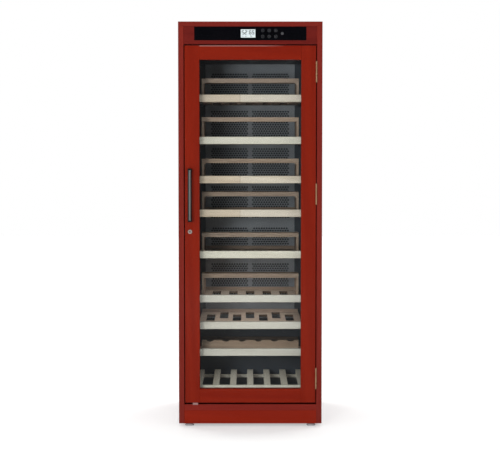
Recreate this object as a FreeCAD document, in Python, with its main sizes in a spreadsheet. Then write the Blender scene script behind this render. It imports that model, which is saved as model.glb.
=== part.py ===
"""Tall wine cabinet: wooden casing, glazed door, eight pull-out shelves and a cooling unit.

Millimetres. The origin is on the floor under the middle of the whole part, +Z is up,
and the door faces -Y. Every size is a cell of the sheet named sizes, and every place is
an expression of those cells.
"""
import os
import re

import FreeCAD
import Part
import Sketcher

# Driving sizes, in the order in which the cabinet is put together
SIZES = {
    # Casing
    "width": 655, "height": 1850, "depth": 660,
    "side_thick": 25, "top_thick": 21, "front_ease": 2, "board_ease": 1,
    "foot_clear": 14, "kick_height": 60.5, "base_rail_height": 28,
    "front_board": 20, "base_board_thick": 18, "fascia_height": 82,
    "cover_inset": 3, "cover_thick": 2,
    # Insulated box behind the door
    "wall_build": 46.5, "liner_thick": 2, "frame_thick": 4,
    "floor_step": 37.5, "ceiling_drop": 50,
    "roof_foam": 50, "floor_foam": 30, "rear_foam": 35,
    "duct_depth": 28, "duct_panel_thick": 2,
    # Door
    "door_gap": 4, "door_top_gap": 5, "door_foot_gap": 8,
    "door_thick": 38, "stile_width": 67, "door_rail_width": 64,
    "groove_deep": 12, "front_lip": 10, "pane_thick": 4, "spacer_thick": 12,
    "spacer_wide": 9, "glass_fit": 0.1, "glass_edge_gap": 1,
    "gasket_thick": 8, "gasket_width": 11, "gasket_end": 24,
    "gasket_lock_edge": 31, "gasket_hinge_edge": 22,
    "seal_gap": 0.3,
    # Handle
    "handle_out": 38, "handle_length": 242, "handle_width": 18,
    "handle_grip": 12, "handle_post": 16, "handle_edge": 23.5, "handle_ease": 2.5,
    "inlay_width": 8, "inlay_deep": 1, "inlay_end": 7,
    # Lock
    "lock_drop": 46, "lock_flange": 20, "lock_flange_thick": 2,
    "lock_body": 16, "lock_plug_size": 10, "lock_proud": 0.5,
    "cam_thick": 2, "cam_width": 9, "cam_reach": 23, "cam_gap": 0.6,
    "key_slot_wide": 1.6, "key_slot_long": 6, "key_slot_deep": 4,
    "strike_tall": 34, "strike_thick": 2, "strike_reach": 9,
    # Hinges
    "hinge_tall": 95.5, "hinge_leaf": 1.5, "hinge_leaf_deep": 30,
    "knuckle_size": 6.4, "pin_size": 3, "running_fit": 0.05, "knuckle_gap": 0.2,
    "hinge_from_top": 119, "hinge_from_foot": 111.5,
    # Door rest
    "rest_wide": 24, "rest_tall": 9.5, "rest_deep": 14, "rest_edge": 46.5, "rest_gap": 1,
    # Control panel
    "panel_edge": 48.5, "panel_tall": 61.5, "panel_thick": 6, "panel_recess": 5,
    "panel_top_gap": 2.5, "display_wide": 66, "display_tall": 37, "display_shift": 10,
    "display_sink": 0.4, "window_gap": 0.2,
    "key_size": 17, "key_thick": 0.4, "key_first": 56, "key_pitch": 29.6, "key_rise": 13.7,
    # Feet
    "foot_size": 41, "foot_edge": 47.5, "foot_setback": 30, "foot_stem": 10,
    "foot_gap": 0.3, "foot_rim": 4,
    # Shelves
    "shelf_side_gap": 17, "lip_setback": 19, "lip_thick": 18, "lip_tall": 34, "lip_ease": 3,
    "deck_thick": 11, "deck_drop": 23, "shelf_rear_gap": 25,
    "bridge_inset": 13, "bridge_deep": 85, "bridge_thick": 20, "bridge_back": 82,
    "bridge_rise_low": 78, "bridge_rise_high": 91,
    "cheek_thick": 10, "cheek_deep": 250, "gusset_size": 10, "gusset_thick": 20,
    "rear_rail_tall": 14, "rear_rail_thick": 18, "rear_rail_inset": 2,
    "slot_wide": 41, "slot_edge": 56.5, "slot_front_land": 136, "slot_rear_land": 84,
    "plain_deck_drop": 10, "plain_slot_edge": 29.5,
    "plain_front_land": 108, "plain_rear_land": 28, "plain_slot_shift": 94,
    "scallop_rise": 28, "scallop_thick": 18, "scallop_back": 60,
    "scallop_size": 53, "scallop_centre": 19.5, "scallop_edge": 36,
    "runner_thick": 6, "runner_lap": 8, "runner_gap": 0.3, "runner_start": 1,
    # Bottle rack on the floor
    "slat_wide": 29, "slat_thick": 20, "slat_edge": 1.5, "rack_rail_tall": 12,
    "rack_rail_wide": 22, "rack_rear_gap": 48, "rack_rail_inset": 24,
    # Cooling unit
    "fan_size": 120, "fan_deep": 25, "fan_bore": 112, "fan_hub": 38, "fan_hub_deep": 15,
    "fan_drop": 294, "fan_plate": 3, "fan_spoke": 6, "fan_shaft": 5,
    "blade_thick": 3, "blade_gap": 2, "blade_deep": 12,
    "evaporator_wide": 360, "evaporator_rise": 450, "evaporator_gap": 180,
    "evaporator_plate": 6, "evaporator_rib": 9, "evaporator_rib_wide": 12,
    "compressor_size": 70, "compressor_long": 190, "compressor_rise": 6,
    "compressor_edge": 87.5, "cooling_rear_gap": 20, "cooling_gap": 40,
    "cradle_wide": 24, "cradle_deep": 56, "cradle_tall": 16, "cradle_inset": 30,
    "condenser_edge": 57.5, "condenser_deep": 70, "condenser_tall": 66,
    "condenser_base": 10, "fin_edge": 5,
    "vent_wide": 6, "vent_tall": 56, "vent_pitch": 16, "vent_rise": 14,
    # Power inlet and lamp
    "inlet_wide": 28, "inlet_tall": 20, "inlet_deep": 22, "inlet_flange": 6,
    "inlet_flange_thick": 2, "inlet_edge": 52.5, "inlet_rise": 46, "inlet_wall": 3,
    "inlet_socket_deep": 16, "contact_wide": 2, "contact_tall": 6, "contact_pitch": 7,
    "contact_recess": 7,
    "lamp_half": 160, "lamp_wide": 12, "lamp_thick": 6, "lamp_setback": 14,
    # One overrun for every cut
    "overrun": 2,
}

# Places that follow another size as a share of it
HINGE_SHARE = 0.587
HANDLE_SHARE = 0.584
FIN_GAP_SHARE = 0.6
SHELF_LEVEL_SHARES = (0.8905, 0.7655, 0.649, 0.5486, 0.4249, 0.2927, 0.2124, 0.1315)

# Counts
KEY_PAIRS = 3
KNUCKLES = 5
SLOTS = 5
PLAIN_SLOTS = 4
SCALLOPS = 6
SLATS = 7
VENTS = 21
FINS = 17
RIBS = 9
BLADES = 7
LOW_BRIDGES = (1, 3, 4, 5)
HIGH_BRIDGES = (2, 6)
GUSSET_SHELVES = (1, 3, 4)
PLAIN_SHELF = 7
SCALLOP_SHELF = 8

doc = FreeCAD.newDocument("wine_cabinet")
sheet = doc.addObject("Spreadsheet::Sheet", "sizes")
for row, (alias, value) in enumerate(SIZES.items(), start=1):
    sheet.set(f"A{row}", alias)
    sheet.set(f"B{row}", str(value))
    sheet.setAlias(f"B{row}", alias)
doc.recompute()

nodes = []


def bound(text):
    """An expression in which each size's word points to its cell of the sheet."""
    def cell(match):
        word = match.group(0)
        return f"sizes.{word}" if word in SIZES else word
    return re.sub(r"[a-z_][a-z_0-9]*", cell, text)


def measure(text):
    """The number that an expression comes to with the sheet's present sizes."""
    return float(sheet.evalExpression(bound(text)))


def node(name, item):
    """Name a finished sub-part, which is then written under that name."""
    item.Label = name
    nodes.append(item)
    return item


def place(item, x, y, z):
    """Bind an object's place to three expressions."""
    for axis, text in zip("xyz", (x, y, z)):
        item.setExpression(f"Placement.Base.{axis}", bound(text))


def board(name, x, y, z):
    """A box between a low and a high place on each axis."""
    box = doc.addObject("Part::Box", name)
    for side, (low, high) in zip(("Length", "Width", "Height"), (x, y, z)):
        box.setExpression(side, bound(f"({high}) - ({low})"))
    place(box, x[0], y[0], z[0])
    return box


AXES = {
    "x": FreeCAD.Rotation(FreeCAD.Vector(0, 1, 0), 90),
    "y": FreeCAD.Rotation(FreeCAD.Vector(1, 0, 0), -90),
    "z": FreeCAD.Rotation(),
}


def rod(name, axis, diameter, start, length):
    """A cylinder that starts at a place and runs along an axis."""
    cylinder = doc.addObject("Part::Cylinder", name)
    cylinder.Placement = FreeCAD.Placement(FreeCAD.Vector(), AXES[axis])
    cylinder.setExpression("Radius", bound(f"({diameter}) / 2"))
    cylinder.setExpression("Height", bound(length))
    place(cylinder, *start)
    return cylinder


def fuse(name, items):
    """One solid from several that touch."""
    joined = doc.addObject("Part::MultiFuse", name)
    joined.Shapes = items
    joined.Refine = True
    return joined


def cut(name, base, tools):
    """A solid less each of the tools."""
    result = doc.addObject("Part::Cut", name)
    result.Base = base
    result.Tool = tools[0] if len(tools) == 1 else fuse(f"{name}_tools", tools)
    return result


def group(name, items):
    """Separate solids that share one node."""
    bundle = doc.addObject("Part::Compound", name)
    bundle.Links = items
    return bundle


def ease_front(name, base, size):
    """Round every edge of the face that looks to the front."""
    doc.recompute()
    front = base.Shape.BoundBox.YMin
    rounded = doc.addObject("Part::Fillet", name)
    rounded.Base = base
    radius = measure(size)
    rounded.Edges = [
        (number, radius, radius)
        for number, edge in enumerate(base.Shape.Edges, start=1)
        if edge.BoundBox.YMax - front < Part.Precision.approximation()
    ]
    return rounded


def about(centre, size):
    """The low and high places of a size that is centred on a place."""
    return f"{centre} - ({size}) / 2", f"{centre} + ({size}) / 2"


def both(half):
    """The low and high places of a piece that is centred on the cabinet."""
    return f"-{half}", half


def rising(low, size):
    """The low and high places of a size that starts at a place."""
    return low, f"{low} + {size}"


def falling(high, size):
    """The low and high places of a size that ends at a place."""
    return f"{high} - {size}", high


def new_sketch(body, name, role, offset):
    """A sketch on one of a body's origin planes, moved along its normal."""
    sketch = body.newObject("Sketcher::SketchObject", name)
    plane = next(item for item in body.Origin.OriginFeatures if item.Role == role)
    sketch.AttachmentSupport = [(plane, "")]
    sketch.MapMode = "FlatFace"
    sketch.setExpression("AttachmentOffset.Base.z", bound(offset))
    return sketch


def hold(sketch, kind, geometry, text):
    """Bind a distance from the sketch's origin, or a radius, to an expression."""
    index = sketch.addConstraint(Sketcher.Constraint(kind, *geometry, measure(text)))
    sketch.setExpression(f"Constraints[{index}]", bound(text))


def outline(sketch, corners):
    """A closed outline of straight lines, with each corner held at two distances."""
    points = [FreeCAD.Vector(measure(across), measure(along), 0) for across, along in corners]
    count = len(points)
    for index, point in enumerate(points):
        sketch.addGeometry(Part.LineSegment(point, points[(index + 1) % count]), False)
    for index in range(count):
        sketch.addConstraint(Sketcher.Constraint("Coincident", index, 2, (index + 1) % count, 1))
    for index, (across, along) in enumerate(corners):
        hold(sketch, "DistanceX", (index, 1), across)
        hold(sketch, "DistanceY", (index, 1), along)


def rectangle(sketch, across, along):
    """A rectangle between a low and a high place on both axes of a sketch."""
    outline(sketch, [(across[0], along[0]), (across[1], along[0]),
                     (across[1], along[1]), (across[0], along[1])])


def ring(sketch, across, along, diameter):
    """A circle held by its centre and its radius."""
    centre = FreeCAD.Vector(measure(across), measure(along), 0)
    radius = f"({diameter}) / 2"
    circle = Part.Circle(centre, FreeCAD.Vector(0, 0, 1), measure(radius))
    index = sketch.addGeometry(circle, False)
    hold(sketch, "DistanceX", (index, 3), across)
    hold(sketch, "DistanceY", (index, 3), along)
    hold(sketch, "Radius", (index,), radius)


def pad(body, sketch, length):
    """Raise a sketch along its normal."""
    feature = body.newObject("PartDesign::Pad", f"{sketch.Name}_pad")
    feature.Profile = sketch
    feature.setExpression("Length", bound(length))
    return feature


def pocket(body, sketch):
    """Cut a sketch through the whole body, to both sides of its plane."""
    feature = body.newObject("PartDesign::Pocket", f"{sketch.Name}_pocket")
    feature.Profile = sketch
    feature.Type = "ThroughAll"
    feature.Midplane = True
    return feature


def in_a_row(body, feature, sketch, pitch, count):
    """Copies of a feature along the horizontal axis of its sketch."""
    copies = body.newObject("PartDesign::LinearPattern", f"{feature.Name}_row")
    copies.Originals = [feature]
    copies.Direction = (sketch, ["H_Axis"])
    copies.setExpression("Length", bound(f"({pitch}) * {count - 1}"))
    copies.Occurrences = count
    body.Tip = copies
    return copies


# Places on the casing and the door, as expressions of the sizes
FRONT = "((handle_out - depth) / 2)"
BACK = f"({FRONT} + depth)"
OUTER = "(width / 2)"
INNER = "(width / 2 - side_thick)"
KICK_TOP = "(foot_clear + kick_height)"
RAIL_TOP = f"({KICK_TOP} + base_rail_height)"
ROOF = "(height - top_thick)"
FASCIA_FOOT = f"({ROOF} - fascia_height)"
BASE_TOP = "(foot_clear + base_board_thick)"
COVER_BACK = f"({BACK} - cover_inset)"
COVER = f"({COVER_BACK} - cover_thick)"

DOOR_HALF = f"({INNER} - door_gap)"
DOOR_FOOT = f"({RAIL_TOP} + door_foot_gap)"
DOOR_TOP = f"({FASCIA_FOOT} - door_top_gap)"
DOOR_BACK = f"({FRONT} + door_thick)"
DOOR_TALL = f"({DOOR_TOP} - {DOOR_FOOT})"
OPEN_HALF = f"({DOOR_HALF} - stile_width)"
OPEN_FOOT = f"({DOOR_FOOT} + door_rail_width)"
OPEN_TOP = f"({DOOR_TOP} - door_rail_width)"
GROOVE = f"({FRONT} + front_lip)"
GROOVE_BACK = f"({GROOVE} + 2 * pane_thick + spacer_thick + 2 * glass_fit)"

SEAL = f"({DOOR_BACK} + gasket_thick)"
FRAME_BACK = f"({SEAL} + frame_thick)"
LINER_HALF = f"({INNER} - wall_build)"
LINER_OUT = f"({LINER_HALF} + liner_thick)"
FLOOR = f"({DOOR_FOOT} + floor_step)"
FLOOR_UNDER = f"({FLOOR} - liner_thick)"
CEILING = f"({DOOR_TOP} - ceiling_drop)"
CEILING_OVER = f"({CEILING} + liner_thick)"
LINER_BACK = f"({COVER} - rear_foam)"
LINER_REAR = f"({LINER_BACK} - liner_thick)"
DUCT_BACK = f"({LINER_REAR} - duct_depth)"
DUCT = f"({DUCT_BACK} - duct_panel_thick)"
FAN_LEVEL = f"({CEILING} - fan_drop)"

LIP_FRONT = f"({SEAL} + lip_setback)"
LIP_BACK = f"({LIP_FRONT} + lip_thick)"
SHELF_HALF = f"({LINER_HALF} - shelf_side_gap)"
DECK_BACK = f"({DUCT} - shelf_rear_gap)"


def casing():
    """The wooden boards, the rear cover and the feet they stand on."""
    rest = (about(f"(rest_edge - {DOOR_HALF})", "rest_wide"),
            rising(FRONT, "rest_deep"),
            falling(f"({DOOR_FOOT} - rest_gap)", "rest_tall"))
    top = board("top_blank", both(OUTER), (FRONT, BACK), (ROOF, "height"))
    node("top_board", ease_front("top_eased", top, "front_ease"))
    upright = ((FRONT, BACK), ("foot_clear", ROOF))
    left = board("left_side", (f"-{OUTER}", f"-{INNER}"), *upright)
    node("side_panel_left", ease_front("left_eased", left, "front_ease"))
    right = board("right_side", (INNER, OUTER), *upright)
    node("side_panel_right", ease_front("right_eased", right, "front_ease"))
    face = (FRONT, f"{FRONT} + front_board")
    kick = board("kick_blank", both(INNER), face, ("foot_clear", KICK_TOP))
    node("kick_plate", ease_front("kick_eased", kick, "board_ease"))
    rail = board("rail_blank", both(INNER), (FRONT, FRAME_BACK), (KICK_TOP, RAIL_TOP))
    notch = board("rest_notch", rest[0], (f"{FRONT} - overrun", rest[1][1]),
                  (rest[2][0], f"{RAIL_TOP} + overrun"))
    node("base_rail", cut("rail_notched", ease_front("rail_eased", rail, "board_ease"), [notch]))
    node("door_rest_block", board("rest", *rest))
    floor = board("base_blank", both(INNER), (face[1], COVER), ("foot_clear", BASE_TOP))
    stems = [rod(f"stem_hole_{name}", "z", "foot_stem + 2 * running_fit",
                 (x, y, "foot_clear - overrun"), "base_board_thick + 2 * overrun")
             for name, x, y in foot_places()]
    node("base_board", cut("base_drilled", floor, stems))
    for name, x, y in foot_places():
        node(f"foot_{name}", foot(name, x, y))


def foot_places():
    """Each levelling foot's name and its axis."""
    across = f"({OUTER} - foot_edge)"
    near = f"({FRONT} + foot_setback)"
    far = f"({COVER} - foot_setback)"
    return [("front_left", f"-{across}", near), ("front_right", across, near),
            ("rear_left", f"-{across}", far), ("rear_right", across, far)]


def foot(name, x, y):
    """A rim, a dome that is a cap of a sphere, and a stem that turns in the base board."""
    top = "(foot_clear - foot_gap)"
    cap = f"({top} - foot_rim)"
    sphere_radius = f"((foot_size / 2) ^ 2 + {cap} ^ 2) / (2 * {cap})"
    ball = doc.addObject("Part::Sphere", f"foot_ball_{name}")
    ball.setExpression("Radius", bound(sphere_radius))
    place(ball, x, y, f"{top} - {sphere_radius}")
    core = rod(f"foot_core_{name}", "z", "foot_size", (x, y, "foot_rim"), cap)
    dome = doc.addObject("Part::Common", f"foot_dome_{name}")
    dome.Base = ball
    dome.Tool = core
    rim = rod(f"foot_rim_{name}", "z", "foot_size", (x, y, "0"), "foot_rim")
    stem = rod(f"foot_stem_{name}", "z", "foot_stem", (x, y, "foot_rim"), f"{BASE_TOP} - foot_rim")
    return fuse(f"foot_body_{name}", [rim, dome, stem])


def control_panel():
    """The fascia with its recess, the black panel, the display and the touch keys."""
    recess = f"({FRONT} + panel_recess)"
    face = f"({recess} - panel_thick)"
    top = f"({ROOF} - panel_top_gap)"
    middle = f"({top} - panel_tall / 2)"
    across = both(f"({INNER} - panel_edge)")
    tall = falling(top, "panel_tall")
    blank = board("fascia_blank", both(INNER), rising(FRONT, "front_board"), (FASCIA_FOOT, ROOF))
    pit = board("panel_pit", across, (f"{FRONT} - overrun", recess), tall)
    node("fascia_board", cut("fascia_recessed", ease_front("fascia_eased", blank, "board_ease"), [pit]))
    glass = board("panel_blank", across, (face, recess), tall)
    window = board("panel_window", about("-display_shift", "display_wide + 2 * window_gap"),
                   (f"{face} - overrun", f"{recess} + overrun"),
                   about(middle, "display_tall + 2 * window_gap"))
    node("control_panel", cut("panel_cut", glass, [window]))
    node("display_module", board("display", about("-display_shift", "display_wide"),
                                 (f"{face} + display_sink", recess),
                                 about(middle, "display_tall")))
    keys = [(column, rise) for column in range(KEY_PAIRS) for rise in (1, -1)] + [(KEY_PAIRS, 0)]
    node("touch_keys", group("keys", [
        rod(f"key_{column}_{rise + 1}", "y", "key_size",
            (f"key_first + {column} * key_pitch", f"{face} - key_thick",
             f"{middle} + {rise} * key_rise"), "key_thick")
        for column, rise in keys]))


def insulated_box():
    """The frame that the seal meets, the liner, the foam round it and the air duct."""
    across = both(LINER_HALF)
    deep = (SEAL, FRAME_BACK)
    tall = (RAIL_TOP, FASCIA_FOOT)
    node("front_frame", group("frame_strips", [
        board("frame_left", (f"-{INNER}", f"-{LINER_HALF}"), deep, tall),
        board("frame_right", (LINER_HALF, INNER), deep, tall),
        board("frame_top", across, deep, (CEILING, FASCIA_FOOT)),
        board("frame_foot", across, deep, (RAIL_TOP, FLOOR))]))
    deep = (FRAME_BACK, LINER_BACK)
    tall = (FLOOR_UNDER, CEILING_OVER)
    node("inner_liner", group("liner_panels", [
        board("liner_left", (f"-{LINER_OUT}", f"-{LINER_HALF}"), deep, tall),
        board("liner_right", (LINER_HALF, LINER_OUT), deep, tall),
        board("liner_ceiling", across, deep, (CEILING, CEILING_OVER)),
        board("liner_floor", across, deep, (FLOOR_UNDER, FLOOR)),
        board("liner_rear", across, (LINER_REAR, LINER_BACK), (FLOOR, CEILING))]))
    deep = (FRAME_BACK, COVER)
    across = both(LINER_OUT)
    roof = rising(CEILING_OVER, "roof_foam")
    ground = falling(FLOOR_UNDER, "floor_foam")
    node("insulation", group("foam_slabs", [
        board("foam_left", (f"-{INNER}", f"-{LINER_OUT}"), deep, (ground[0], roof[1])),
        board("foam_right", (LINER_OUT, INNER), deep, (ground[0], roof[1])),
        board("foam_roof", across, deep, roof),
        board("foam_ground", across, deep, ground),
        board("foam_rear", across, (LINER_BACK, COVER), tall)]))
    node("duct_panel", board("duct", both(LINER_HALF), (DUCT, DUCT_BACK), (FLOOR, CEILING)))
    node("led_strip", board("lamp", both("lamp_half"), rising(f"({SEAL} + lamp_setback)", "lamp_wide"),
                            falling(CEILING, "lamp_thick")))


def door_frame():
    """Two grooved stiles, two rails with stub tenons, the double glazing and the seal."""
    deep = (FRONT, DOOR_BACK)
    groove = (GROOVE, GROOVE_BACK)
    past = f"({DOOR_FOOT} - overrun)", f"({DOOR_TOP} + overrun)"
    lock_x, lock_z = lock_place()
    bore = rod("lock_bore", "y", "lock_body + 2 * running_fit",
               (lock_x, f"{FRONT} - overrun", lock_z), "door_thick + 2 * overrun")
    left = board("stile_left_blank", (f"-{DOOR_HALF}", f"-{OPEN_HALF}"), deep, (DOOR_FOOT, DOOR_TOP))
    slot = board("stile_left_groove", (f"-{OPEN_HALF} - groove_deep", f"-{OPEN_HALF} + overrun"),
                 groove, past)
    node("door_stile_left", cut("stile_left_cut", ease_front("stile_left_eased", left, "board_ease"),
                                [slot, bore]))
    right = board("stile_right_blank", (OPEN_HALF, DOOR_HALF), deep, (DOOR_FOOT, DOOR_TOP))
    slot = board("stile_right_groove", (f"{OPEN_HALF} - overrun", f"{OPEN_HALF} + groove_deep"),
                 groove, past)
    node("door_stile_right", cut("stile_right_cut", ease_front("stile_right_eased", right, "board_ease"),
                                 [slot]))

    unit_half = f"({OPEN_HALF} + groove_deep - glass_edge_gap)"
    unit_foot = f"({OPEN_FOOT} - groove_deep + glass_edge_gap)"
    unit_top = f"({OPEN_TOP} + groove_deep - glass_edge_gap)"
    tenon = (f"{GROOVE} + glass_fit", f"{GROOVE_BACK} - glass_fit")
    rails = (("top", (OPEN_TOP, DOOR_TOP), (f"{OPEN_TOP} - overrun", f"{OPEN_TOP} + groove_deep")),
             ("bottom", (DOOR_FOOT, OPEN_FOOT), (f"{OPEN_FOOT} - groove_deep", f"{OPEN_FOOT} + overrun")))
    for name, tall, slot in rails:
        plank = ease_front(f"rail_{name}_eased", board(f"rail_{name}_plank", both(OPEN_HALF), deep, tall),
                           "board_ease")
        tongue = board(f"rail_{name}_tenon", both(unit_half), tenon, tall)
        whole = fuse(f"rail_{name}_whole", [plank, tongue])
        channel = board(f"rail_{name}_groove", both(f"({unit_half} + overrun)"), groove, slot)
        node(f"door_rail_{name}", cut(f"rail_{name}_cut", whole, [channel]))

    outer_pane = f"({GROOVE} + glass_fit)"
    gap = f"({outer_pane} + pane_thick)"
    inner_pane = f"({gap} + spacer_thick)"
    unit = both(unit_half)
    tall = (unit_foot, unit_top)
    node("glass_panes", group("panes", [
        board("pane_outer", unit, rising(outer_pane, "pane_thick"), tall),
        board("pane_inner", unit, rising(inner_pane, "pane_thick"), tall)]))
    bar = board("spacer_blank", unit, (gap, inner_pane), tall)
    hole = board("spacer_hole", both(f"({unit_half} - spacer_wide)"),
                 (f"{gap} - overrun", f"{inner_pane} + overrun"),
                 (f"{unit_foot} + spacer_wide", f"{unit_top} - spacer_wide"))
    node("glass_spacer", cut("spacer_cut", bar, [hole]))

    seal_left = f"(gasket_lock_edge - {DOOR_HALF})"
    seal_right = f"({DOOR_HALF} - gasket_hinge_edge)"
    seal_foot = f"({DOOR_FOOT} + gasket_end)"
    seal_top = f"({DOOR_TOP} - gasket_end)"
    deep = (DOOR_BACK, f"{SEAL} - seal_gap")
    ends = (f"{seal_left} + gasket_width", f"{seal_right} - gasket_width")
    node("door_gasket", group("gasket_strips", [
        board("gasket_left", rising(seal_left, "gasket_width"), deep, (seal_foot, seal_top)),
        board("gasket_right", falling(seal_right, "gasket_width"), deep, (seal_foot, seal_top)),
        board("gasket_top", ends, deep, falling(seal_top, "gasket_width")),
        board("gasket_foot", ends, deep, rising(seal_foot, "gasket_width"))]))


def handle_place():
    """The handle's axis across the door, and the places of its two ends."""
    middle = f"({DOOR_FOOT} + {HANDLE_SHARE} * {DOOR_TALL})"
    low, high = about(middle, "handle_length")
    return f"(handle_edge - {DOOR_HALF})", f"({low})", f"({high})"


def lock_place():
    """The lock's axis, under the handle."""
    across, low, _ = handle_place()
    return across, f"({low} - lock_drop)"


def handle():
    """A bar on two posts, drawn from the side, with a strip let into its front."""
    across, low, high = handle_place()
    outer = f"({FRONT} - handle_out)"
    inner = f"({outer} + handle_grip)"
    body = doc.addObject("PartDesign::Body", "handle_body")
    sketch = new_sketch(body, "handle_side", "YZ_Plane", across)
    outline(sketch, [
        (FRONT, low), (outer, low), (outer, high), (FRONT, high),
        (FRONT, f"{high} - handle_post"), (inner, f"{high} - handle_post"),
        (inner, f"{low} + handle_post"), (FRONT, f"{low} + handle_post")])
    bar = pad(body, sketch, "handle_width")
    bar.Midplane = True
    strip = (about(across, "inlay_width"), rising(outer, "inlay_deep"),
             (f"{low} + inlay_end", f"{high} - inlay_end"))
    rounded = ease_front("handle_eased", body, "handle_ease")
    pit = board("inlay_pit", strip[0], (f"{outer} - overrun", strip[1][1]), strip[2])
    node("handle_bar", cut("handle_cut", rounded, [pit]))
    node("handle_inlay", board("inlay", *strip))


def lock():
    """The barrel in the door, the plug with its cam, and the strike on the side panel."""
    x, z = lock_place()
    nose = f"({FRONT} - lock_flange_thick)"
    bolt = f"({DOOR_BACK} + cam_gap)"
    cam = f"({bolt} + strike_thick + cam_gap)"
    flange = rod("lock_flange_disc", "y", "lock_flange", (x, nose, z), "lock_flange_thick")
    shank = rod("lock_shank", "y", "lock_body", (x, FRONT, z), "door_thick")
    bore = rod("plug_bore", "y", "lock_plug_size + 2 * running_fit",
               (x, f"{nose} - overrun", z), "door_thick + lock_flange_thick + 2 * overrun")
    node("lock_barrel", cut("barrel_bored", fuse("barrel_whole", [flange, shank]), [bore]))
    start = f"({nose} - lock_proud)"
    plug = rod("plug_rod", "y", "lock_plug_size", (x, start, z), f"{cam} + cam_thick - {start}")
    blade = board("cam_blade", about(x, "cam_width"), rising(cam, "cam_thick"),
                  (f"{z} - cam_width / 2", f"{z} + cam_reach"))
    keyway = board("keyway", about(x, "key_slot_wide"),
                   (f"{start} - overrun", f"{start} + key_slot_deep"), about(z, "key_slot_long"))
    node("lock_plug", cut("plug_slotted", fuse("plug_whole", [plug, blade]), [keyway]))
    tall = about(z, "strike_tall")
    plate = board("strike_plate", rising(f"-{INNER}", "strike_thick"), (bolt, SEAL), tall)
    lip = board("strike_lip", rising(f"-{INNER}", "strike_reach"), rising(bolt, "strike_thick"), tall)
    node("lock_strike", fuse("strike_whole", [plate, lip]))


def hinges():
    """Three butt hinges: a leaf on the side panel, a leaf on the door and a pin."""
    axis_x = f"({INNER} - door_gap / 2)"
    axis_y = f"({FRONT} - knuckle_size / 2 - knuckle_gap)"
    middles = (f"({DOOR_TOP} - hinge_from_top)",
               f"({DOOR_FOOT} + {HINGE_SHARE} * {DOOR_TALL})",
               f"({DOOR_FOOT} + hinge_from_foot)")
    sides = {"cabinet": falling(INNER, "hinge_leaf"), "door": rising(DOOR_HALF, "hinge_leaf")}
    leaves = {side: [] for side in sides}
    pins = []
    step = f"(hinge_tall / {KNUCKLES})"
    for number, middle in enumerate(middles, start=1):
        foot_of = f"({middle} - hinge_tall / 2)"
        tall = about(middle, "hinge_tall")
        for side, across in sides.items():
            name = f"{side}_{number}"
            pieces = [board(f"leaf_{name}", across, rising(FRONT, "hinge_leaf_deep"), tall)]
            first = 0 if side == "cabinet" else 1
            for knuckle in range(first, KNUCKLES, 2):
                low = f"({foot_of} + {knuckle} * {step} + knuckle_gap / 2)"
                long = f"({step} - knuckle_gap)"
                pieces.append(rod(f"knuckle_{name}_{knuckle}", "z", "knuckle_size",
                                  (axis_x, axis_y, low), long))
                pieces.append(board(f"web_{name}_{knuckle}", across, (axis_y, FRONT), rising(low, long)))
            bore = rod(f"bore_{name}", "z", "pin_size + 2 * running_fit",
                       (axis_x, axis_y, f"{foot_of} - overrun"), "hinge_tall + 2 * overrun")
            leaves[side].append(cut(f"hinge_{name}", fuse(f"hinge_{name}_whole", pieces), [bore]))
        pins.append(rod(f"pin_{number}", "z", "pin_size", (axis_x, axis_y, foot_of), "hinge_tall"))
    node("hinge_leaves_cabinet", group("leaves_cabinet", leaves["cabinet"]))
    node("hinge_leaves_door", group("leaves_door", leaves["door"]))
    node("hinge_pins", group("pins", pins))


def slotted_deck(name, under, rows):
    """A deck board with rows of slots: each row has its front and rear edges, pitch and count."""
    body = doc.addObject("PartDesign::Body", f"{name}_deck")
    sketch = new_sketch(body, f"{name}_board", "XY_Plane", under)
    rectangle(sketch, both(SHELF_HALF), (LIP_BACK, DECK_BACK))
    pad(body, sketch, "deck_thick")
    for number, (front, rear, pitch, count) in enumerate(rows):
        slot = new_sketch(body, f"{name}_slot_{number}", "XY_Plane", under)
        first = f"({pitch} * {(1 - count) / 2})"
        rectangle(slot, about(first, "slot_wide"), (front, rear))
        opened = pocket(body, slot)
        doc.recompute()
        in_a_row(body, opened, slot, pitch, count)
    return body


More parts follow.
